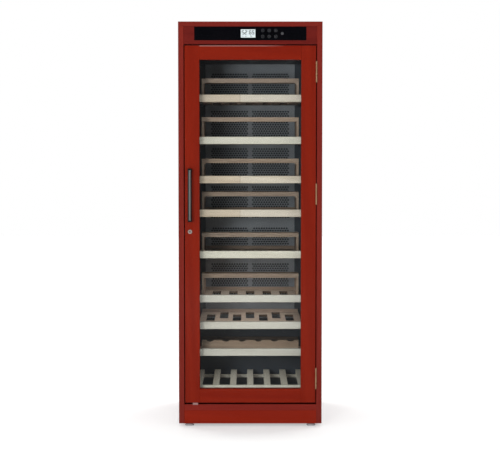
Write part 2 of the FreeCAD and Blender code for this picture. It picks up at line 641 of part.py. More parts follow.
def shelf(number, share):
    """One pull-out shelf: its front lip, and its deck with what stands on the deck."""
    name = f"shelf_{number}"
    top = f"({FLOOR} + {share} * ({CEILING} - {FLOOR}))"
    lip = board(f"{name}_lip", both(SHELF_HALF), (LIP_FRONT, LIP_BACK), falling(top, "lip_tall"))
    node(f"{name}_front", ease_front(f"{name}_lip_eased", lip, "lip_ease"))
    drop = "plain_deck_drop" if number == PLAIN_SHELF else "deck_drop"
    deck_top = f"({top} - {drop})"
    under = f"({deck_top} - deck_thick)"
    if number == PLAIN_SHELF:
        near = f"({LIP_BACK} + plain_front_land)"
        far = f"({DECK_BACK} - plain_rear_land)"
        pitch = f"((2 * {SHELF_HALF} - slot_wide - 2 * plain_slot_edge) / {PLAIN_SLOTS - 1})"
        rows = [(near, f"{far} - plain_slot_shift", pitch, PLAIN_SLOTS),
                (f"{near} + plain_slot_shift", far, pitch, PLAIN_SLOTS - 1)]
    else:
        pitch = f"((2 * {SHELF_HALF} - slot_wide - 2 * slot_edge) / {SLOTS - 1})"
        rows = [(f"{LIP_BACK} + slot_front_land", f"{DECK_BACK} - slot_rear_land", pitch, SLOTS)]
    solids = [slotted_deck(name, under, rows)]
    solids.append(board(f"{name}_rear_rail", both(f"({SHELF_HALF} - rear_rail_inset)"),
                        falling(DECK_BACK, "rear_rail_thick"), rising(deck_top, "rear_rail_tall")))
    if number in LOW_BRIDGES:
        solids += bridge(name, deck_top, f"({top} + bridge_rise_low)")
    if number in HIGH_BRIDGES:
        solids += bridge(name, deck_top, f"({top} + bridge_rise_high)")
    if number in GUSSET_SHELVES:
        solids += gussets(name, f"({top} + bridge_rise_low - bridge_thick)")
    if number == SCALLOP_SHELF:
        solids.append(scalloped_bar(name, deck_top, f"({top} + scallop_rise)"))
    node(f"{name}_frame", group(f"{name}_pieces", solids))
    return shelf_runners(name, f"({under} - runner_gap)")


def bridge(name, deck_top, bridge_top):
    """A plank for a second layer of bottles, on two cheeks that stand on the deck."""
    half = f"({SHELF_HALF} - bridge_inset)"
    front = f"({LIP_BACK} + bridge_back)"
    under = f"({bridge_top} - bridge_thick)"
    deep = rising(front, "cheek_deep")
    return [
        board(f"{name}_plank", both(half), rising(front, "bridge_deep"), (under, bridge_top)),
        board(f"{name}_cheek_left", rising(f"-{half}", "cheek_thick"), deep, (deck_top, under)),
        board(f"{name}_cheek_right", falling(half, "cheek_thick"), deep, (deck_top, under))]


def gussets(name, under):
    """A corner block on each side, under the plank and against the cheek."""
    rear = f"({LIP_BACK} + bridge_back + gusset_thick)"
    blocks = []
    for side, sign in (("left", "-"), ("right", "")):
        corner = f"({sign}({SHELF_HALF} - bridge_inset - cheek_thick))"
        inner = f"({sign}({SHELF_HALF} - bridge_inset - cheek_thick - gusset_size))"
        body = doc.addObject("PartDesign::Body", f"{name}_gusset_{side}")
        sketch = new_sketch(body, f"{name}_gusset_{side}_face", "XZ_Plane", f"-{rear}")
        outline(sketch, [(corner, under), (inner, under), (corner, f"{under} - gusset_size")])
        pad(body, sketch, "gusset_thick")
        blocks.append(body)
    return blocks


def scalloped_bar(name, deck_top, bar_top):
    """A bar on edge with a row of round hollows for bottle necks."""
    half = f"({SHELF_HALF} - bridge_inset)"
    first = f"(scallop_edge - {half})"
    pitch = f"(2 * ({half} - scallop_edge) / {SCALLOPS - 1})"
    rear = f"({LIP_BACK} + scallop_back + scallop_thick)"
    body = doc.addObject("PartDesign::Body", f"{name}_bar")
    sketch = new_sketch(body, f"{name}_bar_face", "XZ_Plane", f"-{rear}")
    rectangle(sketch, both(half), (deck_top, bar_top))
    pad(body, sketch, "scallop_thick")
    hollow = new_sketch(body, f"{name}_hollow", "XZ_Plane", f"-{rear}")
    ring(hollow, first, f"({bar_top} + scallop_centre)", "scallop_size")
    cut_out = pocket(body, hollow)
    doc.recompute()
    in_a_row(body, cut_out, hollow, pitch, SCALLOPS)
    return body


def shelf_runners(name, top):
    """The two ledges on the liner's walls that a shelf's deck slides along."""
    inner = f"({SHELF_HALF} - runner_lap)"
    deep = (f"{LIP_BACK} + runner_start", DECK_BACK)
    tall = falling(top, "runner_thick")
    return [board(f"{name}_runner_left", (f"-{LINER_HALF}", f"-{inner}"), deep, tall),
            board(f"{name}_runner_right", (inner, LINER_HALF), deep, tall)]


def floor_rack():
    """A front strip, and slats that run back from it on two cross rails, on the liner's floor."""
    rear = f"({DUCT} - rack_rear_gap)"
    rail_top = f"({FLOOR} + rack_rail_tall)"
    half = f"({LINER_HALF} - slat_edge)"
    pitch = f"((2 * {half} - slat_wide) / {SLATS - 1})"
    pieces = [
        board(f"slat_{number}", rising(f"({number} * {pitch} - {half})", "slat_wide"),
              (LIP_BACK, rear), rising(rail_top, "slat_thick"))
        for number in range(SLATS)]
    pieces.append(board("rack_front", both(half), (LIP_FRONT, LIP_BACK),
                        (FLOOR, f"{rail_top} + slat_thick")))
    pieces.append(board("rack_rail_front", both(half),
                        rising(f"({LIP_BACK} + rack_rail_inset)", "rack_rail_wide"), (FLOOR, rail_top)))
    pieces.append(board("rack_rail_rear", both(half),
                        falling(f"({rear} - rack_rail_inset)", "rack_rail_wide"), (FLOOR, rail_top)))
    node("floor_rack", group("rack_pieces", pieces))


def fan():
    """A square frame on the duct panel, and a bladed rotor on its shaft."""
    z = FAN_LEVEL
    rear = f"({DUCT_BACK} + fan_deep)"
    plate = falling(rear, "fan_plate")
    shell = board("fan_shell", both("fan_size / 2"), (DUCT_BACK, rear), about(z, "fan_size"))
    throat = rod("fan_throat", "y", "fan_bore", ("0", f"{DUCT_BACK} - overrun", z),
                 "fan_deep + 2 * overrun")
    pieces = [cut("fan_shell_bored", shell, [throat]),
              board("fan_spoke_level", both("fan_size / 2"), plate, about(z, "fan_spoke")),
              board("fan_spoke_upright", both("fan_spoke / 2"), plate, about(z, "fan_size")),
              rod("fan_boss", "y", "fan_hub", ("0", plate[0], z), "fan_plate"),
              rod("fan_axle", "y", "fan_shaft", ("0", f"{DUCT_BACK} + blade_gap", z),
                  "fan_deep - blade_gap")]
    node("fan_frame", fuse("fan_frame_whole", pieces))

    body = doc.addObject("PartDesign::Body", "fan_rotor_body")
    hub = new_sketch(body, "fan_hub_face", "XZ_Plane", "0")
    ring(hub, "0", "0", "fan_hub")
    pad(body, hub, "fan_hub_deep")
    blade = new_sketch(body, "fan_blade_face", "XZ_Plane", "0")
    rectangle(blade, both("blade_thick / 2"), ("fan_hub / 2 - overrun", "fan_bore / 2 - blade_gap"))
    vane = pad(body, blade, "blade_deep")
    doc.recompute()
    around = body.newObject("PartDesign::PolarPattern", "fan_blades")
    around.Originals = [vane]
    around.Axis = (hub, ["N_Axis"])
    around.Angle = 360
    around.Occurrences = BLADES
    body.Tip = around
    doc.recompute()
    bore = new_sketch(body, "fan_rotor_bore", "XZ_Plane", "0")
    ring(bore, "0", "0", "fan_shaft + 2 * running_fit")
    body.Tip = pocket(body, bore)
    place(body, "0", f"{DUCT_BACK} + blade_gap + fan_hub_deep", z)
    node("fan_rotor", body)


def cooling_unit():
    """The evaporator in the duct, and the compressor and condenser in the base."""
    across = both("evaporator_wide / 2")
    plate = f"({LINER_REAR} - evaporator_plate)"
    low = f"({FLOOR} + evaporator_rise)"
    high = f"({FAN_LEVEL} - fan_size / 2 - evaporator_gap)"
    pitch = f"(({high} - {low} - evaporator_rib_wide) / {RIBS - 1})"
    pieces = [board("evaporator_sheet", across, (plate, LINER_REAR), (low, high))]
    pieces += [board(f"evaporator_rib_{number}", across, falling(plate, "evaporator_rib"),
                     rising(f"({low} + {number} * {pitch})", "evaporator_rib_wide"))
               for number in range(RIBS)]
    node("evaporator", fuse("evaporator_whole", pieces))

    rear = f"({COVER} - cooling_rear_gap)"
    axis_y = f"({rear} - compressor_size / 2)"
    axis_z = f"({BASE_TOP} + compressor_rise + compressor_size / 2)"
    end = f"({INNER} - compressor_edge)"
    start = f"({end} - compressor_long)"
    can = rod("compressor_can", "x", "compressor_size", (start, axis_y, axis_z), "compressor_long")
    cradle = (about(axis_y, "cradle_deep"), rising(BASE_TOP, "cradle_tall"))
    pieces = [can,
              board("cradle_left", rising(f"({start} + cradle_inset)", "cradle_wide"), *cradle),
              board("cradle_right", falling(f"({end} - cradle_inset)", "cradle_wide"), *cradle)]
    node("compressor", fuse("compressor_whole", pieces))

    low = f"(condenser_edge - {INNER})"
    high = f"({start} - cooling_gap)"
    pitch = f"(({high} - {low} - 2 * fin_edge) / {FINS})"
    deep = falling(rear, "condenser_deep")
    block = board("condenser_block", (low, high), deep, rising(BASE_TOP, "condenser_tall"))
    gaps = [board(f"fin_gap_{number}",
                  about(f"({low} + fin_edge + {number + 0.5} * {pitch})", f"{FIN_GAP_SHARE} * {pitch}"),
                  (f"{deep[0]} - overrun", f"{deep[1]} + overrun"),
                  (f"{BASE_TOP} + condenser_base", f"{BASE_TOP} + condenser_tall + overrun"))
            for number in range(FINS)]
    node("condenser", cut("condenser_finned", block, gaps))


def rear_cover():
    """The sheet at the back, with its vents, and the socket for the mains lead."""
    middle = f"({BASE_TOP} + inlet_rise)"
    beside = f"({INNER} - inlet_edge)"
    across = about(beside, "inlet_wide")
    tall = about(middle, "inlet_tall")
    past = (f"{COVER} - overrun", f"{COVER_BACK} + overrun")
    sheet_metal = board("cover_blank", both(INNER), (COVER, COVER_BACK), ("foot_clear", ROOF))
    holes = [board(f"vent_{number}", about(f"({number - (VENTS - 1) / 2} * vent_pitch)", "vent_wide"), past,
                   rising(f"({BASE_TOP} + vent_rise)", "vent_tall"))
             for number in range(VENTS)]
    holes.append(board("inlet_hole", across, past, tall))
    node("back_cover", cut("cover_cut", sheet_metal, holes))

    outside = f"({COVER_BACK} + inlet_flange_thick)"
    floor = f"({outside} - inlet_socket_deep)"
    flange = board("inlet_plate", about(beside, "inlet_wide + 2 * inlet_flange"),
                   (COVER_BACK, outside), about(middle, "inlet_tall + 2 * inlet_flange"))
    shell = board("inlet_shell", across, falling(COVER_BACK, "inlet_deep"), tall)
    well = board("inlet_well", about(beside, "inlet_wide - 2 * inlet_wall"),
                 (floor, f"{outside} + overrun"), about(middle, "inlet_tall - 2 * inlet_wall"))
    hollow = cut("inlet_hollow", fuse("inlet_whole", [flange, shell]), [well])
    contacts = [board(f"inlet_contact_{number}",
                      about(f"({beside} + {number} * contact_pitch)", "contact_wide"),
                      (f"{floor} - contact_wide", f"{outside} - contact_recess"),
                      about(middle, "contact_tall"))
                for number in (-1, 0, 1)]
    node("power_inlet", fuse("inlet_wired", [hollow] + contacts))


def check():
    """Stop if any object failed, or if a sub-part has no valid solid."""
    doc.recompute()
    for item in doc.Objects:
        if {"Invalid", "Error"} & set(item.State):
            raise RuntimeError(f"{item.Name} failed: {item.State}")
    for item in nodes:
        if item.Shape.isNull() or not item.Shape.isValid() or not item.Shape.Solids:
            raise RuntimeError(f"{item.Label} has no valid solid")


casing()
control_panel()
insulated_box()
door_frame()
handle()
lock()
hinges()
runners = []
for index, level_share in enumerate(SHELF_LEVEL_SHARES, start=1):
    runners += shelf(index, level_share)
node("shelf_rails", group("runners", runners))
floor_rack()
fan()
cooling_unit()
rear_cover()
check()

os.makedirs("parts", exist_ok=True)
for item in nodes:
    item.Shape.exportStep(f"parts/{item.Label}.step")
print(len(nodes), "nodes,", sum(len(item.Shape.Solids) for item in nodes), "solids")
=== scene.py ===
# %% [markdown]
# # A tall wine cabinet
# The cabinet is a red lacquered box with a glazed door, eight pull-out shelves and a cooling unit.
# Its boards, shelves, hinges and handle come from the imported solids, in metres, and stay where they are.
# This lesson gives them their finishes, and makes the pieces whose detail is too fine for the solids:
# the perforated panel at the back, the figures on the display, the marks on the keys, the lock's rim and
# the painted shade of its keyway, the folded seal, the turned feet and the screws of the rear cover.

import bpy
import numpy as np
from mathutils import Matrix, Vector


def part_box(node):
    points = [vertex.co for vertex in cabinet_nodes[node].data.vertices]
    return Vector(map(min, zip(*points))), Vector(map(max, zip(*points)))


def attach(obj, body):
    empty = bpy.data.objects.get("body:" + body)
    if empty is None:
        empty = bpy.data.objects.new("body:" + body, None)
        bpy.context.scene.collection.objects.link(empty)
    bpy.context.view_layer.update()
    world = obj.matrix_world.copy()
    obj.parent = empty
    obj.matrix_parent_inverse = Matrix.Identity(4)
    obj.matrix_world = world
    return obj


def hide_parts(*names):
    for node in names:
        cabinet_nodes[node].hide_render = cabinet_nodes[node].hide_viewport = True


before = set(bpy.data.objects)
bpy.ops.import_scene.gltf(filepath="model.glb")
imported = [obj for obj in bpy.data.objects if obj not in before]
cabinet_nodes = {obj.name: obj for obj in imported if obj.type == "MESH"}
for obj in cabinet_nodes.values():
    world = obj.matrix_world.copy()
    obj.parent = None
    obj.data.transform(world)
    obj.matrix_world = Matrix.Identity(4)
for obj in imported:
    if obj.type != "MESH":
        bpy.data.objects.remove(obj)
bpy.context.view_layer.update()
scene = bpy.context.scene

# %% [markdown]
# ## Camera
# The picture is taken from straight ahead and far away, a little above the middle, so that the sides and
# the top don't show and the shelves lower down show more of their decks. A long lens at about six metres
# gives that. The camera could be fitted by eye, but the place below was worked out from the sizes of the
# door at the front and the shelves behind it.

# %% Set up the camera
CAMERA_PLACE = Vector((-0.0137, -6.711, 1.266))
CAMERA_AIM = Vector((-0.0014, -0.311, 0.9272))
camera_data = bpy.data.cameras.new("studio_camera")
camera_data.sensor_width = 36.0
camera_data.lens = 101.16
camera = bpy.data.objects.new("studio_camera", camera_data)
camera.location = CAMERA_PLACE
camera.rotation_euler = (CAMERA_AIM - CAMERA_PLACE).to_track_quat("-Z", "Y").to_euler()
scene.collection.objects.link(camera)
scene.camera = camera
print("camera distance:", round((CAMERA_AIM - CAMERA_PLACE).length, 3))

# %% [markdown]
# ## Lamps
# Sun lamps with a wide disc act as very large soft boxes: they light every part of the floor alike and have
# no hot spot. Three stand in front, to the left, to the right and high up. Two stand behind for the other
# sides, and one hangs overhead. A round lamp at the height of the middle shelves stands near the camera: it
# shines up into the top bays, straight into the middle ones and down into the low ones, and so reaches the
# rear panel. The decks of the low shelves would still be dark, because the shelves above shade them, so
# three weak lamps hang in the low bays. Only the overhead lamp can be mirrored, and no lamp is seen through
# the panes, because a lamp's bright disc would lie over the door.

# %% Hang the lamps
SUN_DISC = np.radians(38)
SUNS = {
    "key": ((-0.74, -0.66, 0.42), 0.50),
    "fill": ((0.76, -0.64, 0.40), 0.34),
    "front_high": ((0.04, -0.83, 0.56), 0.38),
    "overhead": ((0.05, 0.25, 1.0), 1.3),
    "rear_left": ((-0.8, 0.7, 0.5), 1.3),
    "rear_right": ((0.8, 0.7, 0.5), 1.1),
}
BAY_LAMPS = {"bay_6": (0.655, 0.22), "bay_7": (0.552, 0.20), "bay_floor": (0.300, 0.14)}
BAY_MIDDLE, BAY_WIDE, BAY_DEEP = 0.003, 0.40, 0.42
SHELF_LAMP_PLACE, SHELF_LAMP_POWER, SHELF_LAMP_RADIUS = (-1.5, -5.2, 1.30), 500.0, 0.6


def hang_lamp(name, kind, energy, mirrored=False, **settings):
    """A lamp that isn't seen through the panes, and that polished surfaces show only if it is mirrored."""
    lamp_data = bpy.data.lights.new(name, kind)
    lamp_data.energy = energy
    for key, value in settings.items():
        setattr(lamp_data, key, value)
    lamp = bpy.data.objects.new(name, lamp_data)
    lamp.visible_glossy = mirrored
    lamp.visible_transmission = False
    scene.collection.objects.link(lamp)
    return lamp


for lamp_name, (towards, strength) in SUNS.items():
    sun = hang_lamp(lamp_name, "SUN", strength, mirrored=lamp_name == "overhead", angle=SUN_DISC)
    sun.rotation_euler = Vector(towards).to_track_quat("Z", "Y").to_euler()
shelf_lamp = hang_lamp("shelf_lamp", "POINT", SHELF_LAMP_POWER, shadow_soft_size=SHELF_LAMP_RADIUS)
shelf_lamp.location = SHELF_LAMP_PLACE
shelf_lamp.visible_camera = False
for lamp_name, (height, strength) in BAY_LAMPS.items():
    bay_lamp = hang_lamp(lamp_name, "AREA", strength, shape="RECTANGLE", size=BAY_WIDE, size_y=BAY_DEEP)
    bay_lamp.location = (0.0, BAY_MIDDLE, height)
    bay_lamp.visible_camera = False
print("lamps:", len(bpy.data.lights))

# %% [markdown]
# ## Shader nodes from Python
# Every finish below is a small tree of shader nodes. A few short functions keep the trees readable: one adds
# a node and feeds its inputs, and the others do the steps that come back most often.

# %% Node helpers


def feed(tree, item, inputs):
    """Give each named input of a node either a value or a link from another socket."""
    for key, value in inputs.items():
        if isinstance(value, bpy.types.NodeSocket):
            tree.links.new(value, item.inputs[key])
        else:
            item.inputs[key].default_value = value
    return item


def add(tree, kind, inputs=None, **settings):
    """One shader node, with its settings and its inputs."""
    item = tree.nodes.new("ShaderNode" + kind)
    for key, value in settings.items():
        setattr(item, key, value)
    return feed(tree, item, inputs or {})


def worked_out(tree, operation, *values):
    """The result of one step of arithmetic."""
    return add(tree, "Math", dict(enumerate(values)), operation=operation).outputs[0]


def either(tree, factor, first, second):
    """The shader that lies between two shaders by a factor."""
    return add(tree, "MixShader", {0: factor, 1: first, 2: second}).outputs[0]


def new_finish(name):
    """A finish to fill in: its material, its node tree and its shader."""
    finish = bpy.data.materials.new(name)
    finish.use_nodes = True
    return finish, finish.node_tree, finish.node_tree.nodes["Principled BSDF"]


# %% [markdown]
# ## Room and floor
# The floor is pale and plain, and the room behind it white. The floor is a lit table, so that shadows on it
# stay pale. What a pane mirrors is kept dim, both the room and the floor, because a white room would lie over
# the whole door as a veil: the mix looks at the number of mirrorings along the ray, so a ray that was
# mirrored inside the glass counts too.

# %% Make the room
WHITE = (1.0, 1.0, 1.0, 1.0)


def mirrored_ray(tree):
    """One for a ray that has been mirrored at least once, and zero for any other."""
    return worked_out(tree, "GREATER_THAN", add(tree, "LightPath").outputs["Glossy Depth"], 0.5)


room = bpy.data.worlds.new("white_room")
room.use_nodes = True
room_tree = room.node_tree
room_tree.nodes.clear()
room_path = add(room_tree, "LightPath").outputs
seen_ray = worked_out(room_tree, "MAXIMUM", room_path["Is Camera Ray"], room_path["Is Transmission Ray"])
seen_white = add(room_tree, "Background", {"Color": WHITE, "Strength": 1.0})
soft_fill = add(room_tree, "Background", {"Color": (1.0, 0.99, 0.98, 1.0), "Strength": 0.30})
dim_mirror = add(room_tree, "Background", {"Color": (0.9, 0.95, 1.0, 1.0), "Strength": 0.06})
room_light = either(room_tree, seen_ray, soft_fill.outputs[0], seen_white.outputs[0])
room_light = either(room_tree, mirrored_ray(room_tree), room_light, dim_mirror.outputs[0])
add(room_tree, "OutputWorld", {"Surface": room_light})
scene.world = room
scene.view_settings.view_transform = "Standard"
print("room:", room.name, len(room_tree.nodes), "nodes")

# %% Make the floor
HALF_FLOOR = 14.0
floor_corners = [(-HALF_FLOOR, -HALF_FLOOR, 0), (HALF_FLOOR, -HALF_FLOOR, 0),
                 (HALF_FLOOR, HALF_FLOOR, 0), (-HALF_FLOOR, HALF_FLOOR, 0)]
floor_mesh = bpy.data.meshes.new("studio_floor")
floor_mesh.from_pydata(floor_corners, [], [(0, 1, 2, 3)])
studio_floor = bpy.data.objects.new("studio_floor", floor_mesh)
scene.collection.objects.link(studio_floor)
floor_finish, floor_tree, floor_shader = new_finish("studio_paper")
feed(floor_tree, floor_shader, {"Base Color": (0.62, 0.62, 0.62, 1.0), "Roughness": 0.9,
                                "Emission Color": WHITE, "Emission Strength": 0.42})
floor_dim = add(floor_tree, "BsdfDiffuse", {"Color": (0.05, 0.05, 0.05, 1.0)})
floor_seen = either(floor_tree, mirrored_ray(floor_tree), floor_shader.outputs[0], floor_dim.outputs[0])
feed(floor_tree, floor_tree.nodes["Material Output"], {"Surface": floor_seen})
floor_mesh.materials.append(floor_finish)
print("floor side:", 2 * HALF_FLOOR)

# %% [markdown]
# ## Wood grain, as a node group
# Every board needs grain, but in finishes from red lacquer to pale beech and stained brown. The grain is
# therefore one group. It reads a place that has been stretched along the board, so that its patterns turn
# into streaks. A wave gives the growth bands, a fine noise the fibres, and a sharper noise the pores. A
# slow noise moves the colour a little from one end of a board to the other, as real veneer does.

# %% Group helpers


def open_group(name, inputs, outputs):
    """An empty shader group with named sockets, the sockets of its inner input, and its inner output node."""
    group = bpy.data.node_groups.new(name, "ShaderNodeTree")
    for label, kind, value in inputs:
        socket = group.interface.new_socket(label, in_out="INPUT", socket_type="NodeSocket" + kind)
        if value is not None:
            socket.default_value = value
    for label, kind in outputs:
        group.interface.new_socket(label, in_out="OUTPUT", socket_type="NodeSocket" + kind)
    return group, group.nodes.new("NodeGroupInput").outputs, group.nodes.new("NodeGroupOutput")


def mixed(tree, factor, first, second, blend="MIX"):
    """The colour that lies between two colours by a factor."""
    item = add(tree, "Mix", {0: factor, 6: first, 7: second}, data_type="RGBA", blend_type=blend)
    return item.outputs[2]


def spread(tree, value, low, high, to_low, to_high):
    """A value carried from one range to another, and kept inside the second."""
    item = add(tree, "MapRange", {"Value": value, "From Min": low, "From Max": high,
                                  "To Min": to_low, "To Max": to_high})
    return item.outputs["Result"]


# %% Build the grain group
grain_group, grain_in, grain_out = open_group(
    "wood_grain",
    [("Place", "Vector", None), ("Pale", "Color", (0.5, 0.4, 0.3, 1)), ("Dark", "Color", (0.3, 0.2, 0.1, 1)),
     ("Drift", "Color", (0.4, 0.3, 0.2, 1)), ("Pores", "Float", 0.3),
     ("Smooth", "Float", 0.3), ("Rough", "Float", 0.5)],
    [("Color", "Color"), ("Roughness", "Float"), ("Height", "Float")])
bands = add(grain_group, "TexWave", {"Vector": grain_in["Place"], "Scale": 0.55, "Distortion": 7.0,
                                     "Detail": 3.0, "Detail Scale": 1.4, "Detail Roughness": 0.6},
            bands_direction="DIAGONAL")
fibres = add(grain_group, "TexNoise", {"Vector": grain_in["Place"], "Scale": 26.0, "Detail": 5.0,
                                       "Roughness": 0.65})
pores = add(grain_group, "TexNoise", {"Vector": grain_in["Place"], "Scale": 85.0, "Detail": 2.0})
slow = add(grain_group, "TexNoise", {"Vector": grain_in["Place"], "Scale": 0.45, "Detail": 2.0})
fibre = spread(grain_group, fibres.outputs["Fac"], 0.32, 0.68, 0.0, 1.0)
pore = spread(grain_group, pores.outputs["Fac"], 0.60, 0.74, 0.0, 1.0)
drift = spread(grain_group, slow.outputs["Fac"], 0.38, 0.62, 0.0, 0.55)
streak = worked_out(grain_group, "MULTIPLY", bands.outputs["Fac"], 0.55)
streak = worked_out(grain_group, "MULTIPLY_ADD", fibre, 0.45, streak)
timber = mixed(grain_group, streak, grain_in["Dark"], grain_in["Pale"])
timber = mixed(grain_group, drift, timber, grain_in["Drift"])
pore_depth = worked_out(grain_group, "MULTIPLY", pore, grain_in["Pores"])
timber = mixed(grain_group, pore_depth, timber, grain_in["Dark"], "MULTIPLY")
sheen = add(grain_group, "MapRange", {"Value": fibre, "To Min": grain_in["Smooth"],
                                      "To Max": grain_in["Rough"]})
feed(grain_group, grain_out, {"Color": timber, "Roughness": sheen.outputs["Result"],
                              "Height": worked_out(grain_group, "SUBTRACT", fibre, pore_depth)})
print("group:", grain_group.name, len(grain_group.nodes), "nodes")

# %% [markdown]
# ## Painted light and shade on decks, as a node group
# The decks and slats that bottles lie on get painted light on their upper faces, so these are paler, in place
# of light that the shelves above keep off. The sawn slots in a deck get painted shade on their end grain. The
# group reads the direction in which a face looks: it lightens the faces that look up, and darkens those that
# look forward from below the deck's level. A frame can also be darker from some depth on, as painted shade.

# %% Build the deck group
# The sockets hold the tint of the painted light on upper faces and the tints of the painted shade in slots and
# behind a depth.
deck_group, deck_in, deck_out = open_group(
    "deck_painted_light_and_shade",
    [("Color", "Color", (0.5, 0.4, 0.3, 1)), ("Facing", "Vector", None), ("Place", "Vector", None),
     ("Painted Top Light", "Color", (1, 1, 1, 1)), ("Slot Shade", "Color", (0.3, 0.28, 0.26, 1)),
     ("Deck Level", "Float", 0.0), ("Rear Shade", "Color", (0.25, 0.25, 0.26, 1)),
     ("Shade From", "Float", 10.0)],
    [("Color", "Color")])
facing = add(deck_group, "SeparateXYZ", {0: deck_in["Facing"]}).outputs
spot = add(deck_group, "SeparateXYZ", {0: deck_in["Place"]}).outputs
# Painted light: faces that look up take the top tint.
upward = spread(deck_group, facing["Z"], 0.5, 0.9, 0.0, 1.0)
# Painted shade: faces that look forward from below the deck's level, the rear faces of the slots, are
# darkened.
forward = spread(deck_group, facing["Y"], -0.9, -0.5, 1.0, 0.0)
in_deck = worked_out(deck_group, "LESS_THAN", spot["Z"], deck_in["Deck Level"])
in_slot = worked_out(deck_group, "MULTIPLY", forward, in_deck)
# Painted shade: everything behind the given depth is darkened.
behind = worked_out(deck_group, "GREATER_THAN", spot["Y"], deck_in["Shade From"])
tone = deck_in["Color"]
for share, label in ((upward, "Painted Top Light"), (in_slot, "Slot Shade"), (behind, "Rear Shade")):
    tone = mixed(deck_group, share, tone, mixed(deck_group, 1.0, tone, deck_in[label], "MULTIPLY"))
feed(deck_group, deck_out, {"Color": tone})
print("group:", deck_group.name, len(deck_group.nodes), "nodes")

# %% [markdown]
# ## Handled surfaces, as a node group
# Plastic, paint, rubber and metal aren't wood, but none of them is one flat colour either. Hands and cloths
# leave broad dull patches, and moulding or spraying leaves a fine grain. The third group puts out a mask for
# the patches, a roughness that follows them, and a height for the fine grain.

# %% Build the handled group
handled_group, handled_in, handled_out = open_group(
    "handled_surface",
    [("Place", "Vector", None), ("Patch Scale", "Float", 9.0), ("Grain Scale", "Float", 900.0),
     ("Smooth", "Float", 0.3), ("Rough", "Float", 0.5)],
    [("Patches", "Float"), ("Roughness", "Float"), ("Height", "Float")])
patches = add(handled_group, "TexNoise", {"Vector": handled_in["Place"], "Scale": handled_in["Patch Scale"],
                                          "Detail": 4.0, "Distortion": 0.4})
speckle = add(handled_group, "TexNoise", {"Vector": handled_in["Place"], "Scale": handled_in["Grain Scale"],
                                          "Detail": 2.0})
patch = spread(handled_group, patches.outputs["Fac"], 0.35, 0.66, 0.0, 1.0)
dull = worked_out(handled_group, "MULTIPLY_ADD", speckle.outputs["Fac"], 0.35, patch)
dullness = add(handled_group, "MapRange", {"Value": dull, "From Max": 1.3, "To Min": handled_in["Smooth"],
                                           "To Max": handled_in["Rough"]})
feed(handled_group, handled_out, {"Patches": patch, "Roughness": dullness.outputs["Result"],
                                  "Height": speckle.outputs["Fac"]})
print("group:", handled_group.name, len(handled_group.nodes), "nodes")

# %% [markdown]
# ## The finishes of the boards
# Lacquered boards have a clear coat over stained veneer: the colour has grain, but the surface is smooth.
# The shelves are only waxed, so they are duller and their grain can be felt. One function makes both, with
# the direction of the grain as its first choice, because stiles and sides run upright and rails lie across.

# %% The function for wood
STRETCH = {"upright": (15.0, 15.0, 0.9), "across": (0.9, 15.0, 15.0), "front to back": (15.0, 0.9, 15.0)}
COAT_ROUGHNESS, GRAIN_DEPTH = 0.06, 0.0006


def timber_finish(name, run, pale, dark, drift, pores, smooth, rough, coat=0.0, relief=0.1, shift=0.0,
                  gain=1.0, deck=None):
    """A wood finish whose grain runs one way; coat is the weight of a clear lacquer over it, gain multiplies
    its three colours, and deck holds the values of the deck group, which paints light and shade on wood that
    bottles lie on."""
    finish, tree, shader = new_finish(name)
    place = add(tree, "TexCoord").outputs["Object"]
    lengthened = add(tree, "Mapping", {"Vector": place, "Scale": STRETCH[run],
                                       "Location": (shift, shift, shift)})
    colours = {label: tuple(gain * value for value in colour) + (1.0,)
               for label, colour in (("Pale", pale), ("Dark", dark), ("Drift", drift))}
    grain = add(tree, "Group", {"Place": lengthened.outputs["Vector"], **colours, "Pores": pores,
                                "Smooth": smooth, "Rough": rough}, node_tree=grain_group).outputs
    colour = grain["Color"]
    if deck:
        facing = add(tree, "NewGeometry").outputs["Normal"]
        colour = add(tree, "Group", {"Color": colour, "Facing": facing, "Place": place, **deck},
                     node_tree=deck_group).outputs["Color"]
    bump = add(tree, "Bump", {"Height": grain["Height"], "Strength": relief, "Distance": GRAIN_DEPTH})
    feed(tree, shader, {"Base Color": colour, "Roughness": grain["Roughness"], "Coat Weight": coat,
                        "Coat Roughness": COAT_ROUGHNESS, "Normal": bump.outputs["Normal"]})
    return finish


def set_gloss(finish, level):
    """Lower the shine of a finish that should mirror less than plain lacquer or plastic."""
    finish.node_tree.nodes["Principled BSDF"].inputs["Specular IOR Level"].default_value = level


print("grain runs:", list(STRETCH))

# %% [markdown]
# ## Lacquered boards
# The door is a clearer red than the case, and the fascia a darker one. The sides and the top have only a
# satin lacquer: they are large and lie at a flat angle in most views, where gloss would turn into glare.

# %% Make the lacquers
LACQUER = {"pores": 0.35, "smooth": 0.12, "rough": 0.20, "coat": 0.2, "relief": 0.06}
DOOR_RED = {"pale": (0.185, 0.0105, 0.0020), "dark": (0.140, 0.0070, 0.0014),
            "drift": (0.160, 0.0095, 0.0030), **LACQUER}
CASE_RED = {"pale": (0.152, 0.0125, 0.0068), "dark": (0.112, 0.0085, 0.0050),
            "drift": (0.130, 0.0115, 0.0080), **LACQUER}
FASCIA_RED = {"pale": (0.120, 0.0098, 0.0068), "dark": (0.088, 0.0068, 0.0050),
              "drift": (0.100, 0.0090, 0.0078), **LACQUER}
SIDE_SATIN = {**CASE_RED, "smooth": 0.34, "rough": 0.46, "relief": 0.02}
TOP_SATIN = {**CASE_RED, "coat": 0.0, "smooth": 0.5, "rough": 0.65}
door_upright = timber_finish("door_lacquer_upright", "upright", **DOOR_RED)
door_across = timber_finish("door_lacquer_across", "across", **DOOR_RED, shift=3.1)
top_rail_highlighted = timber_finish("top_rail_lacquer_highlighted", "across", **DOOR_RED, shift=3.1)
kick_across = timber_finish("kick_lacquer_across", "across", **DOOR_RED, shift=9.6, gain=1.2)
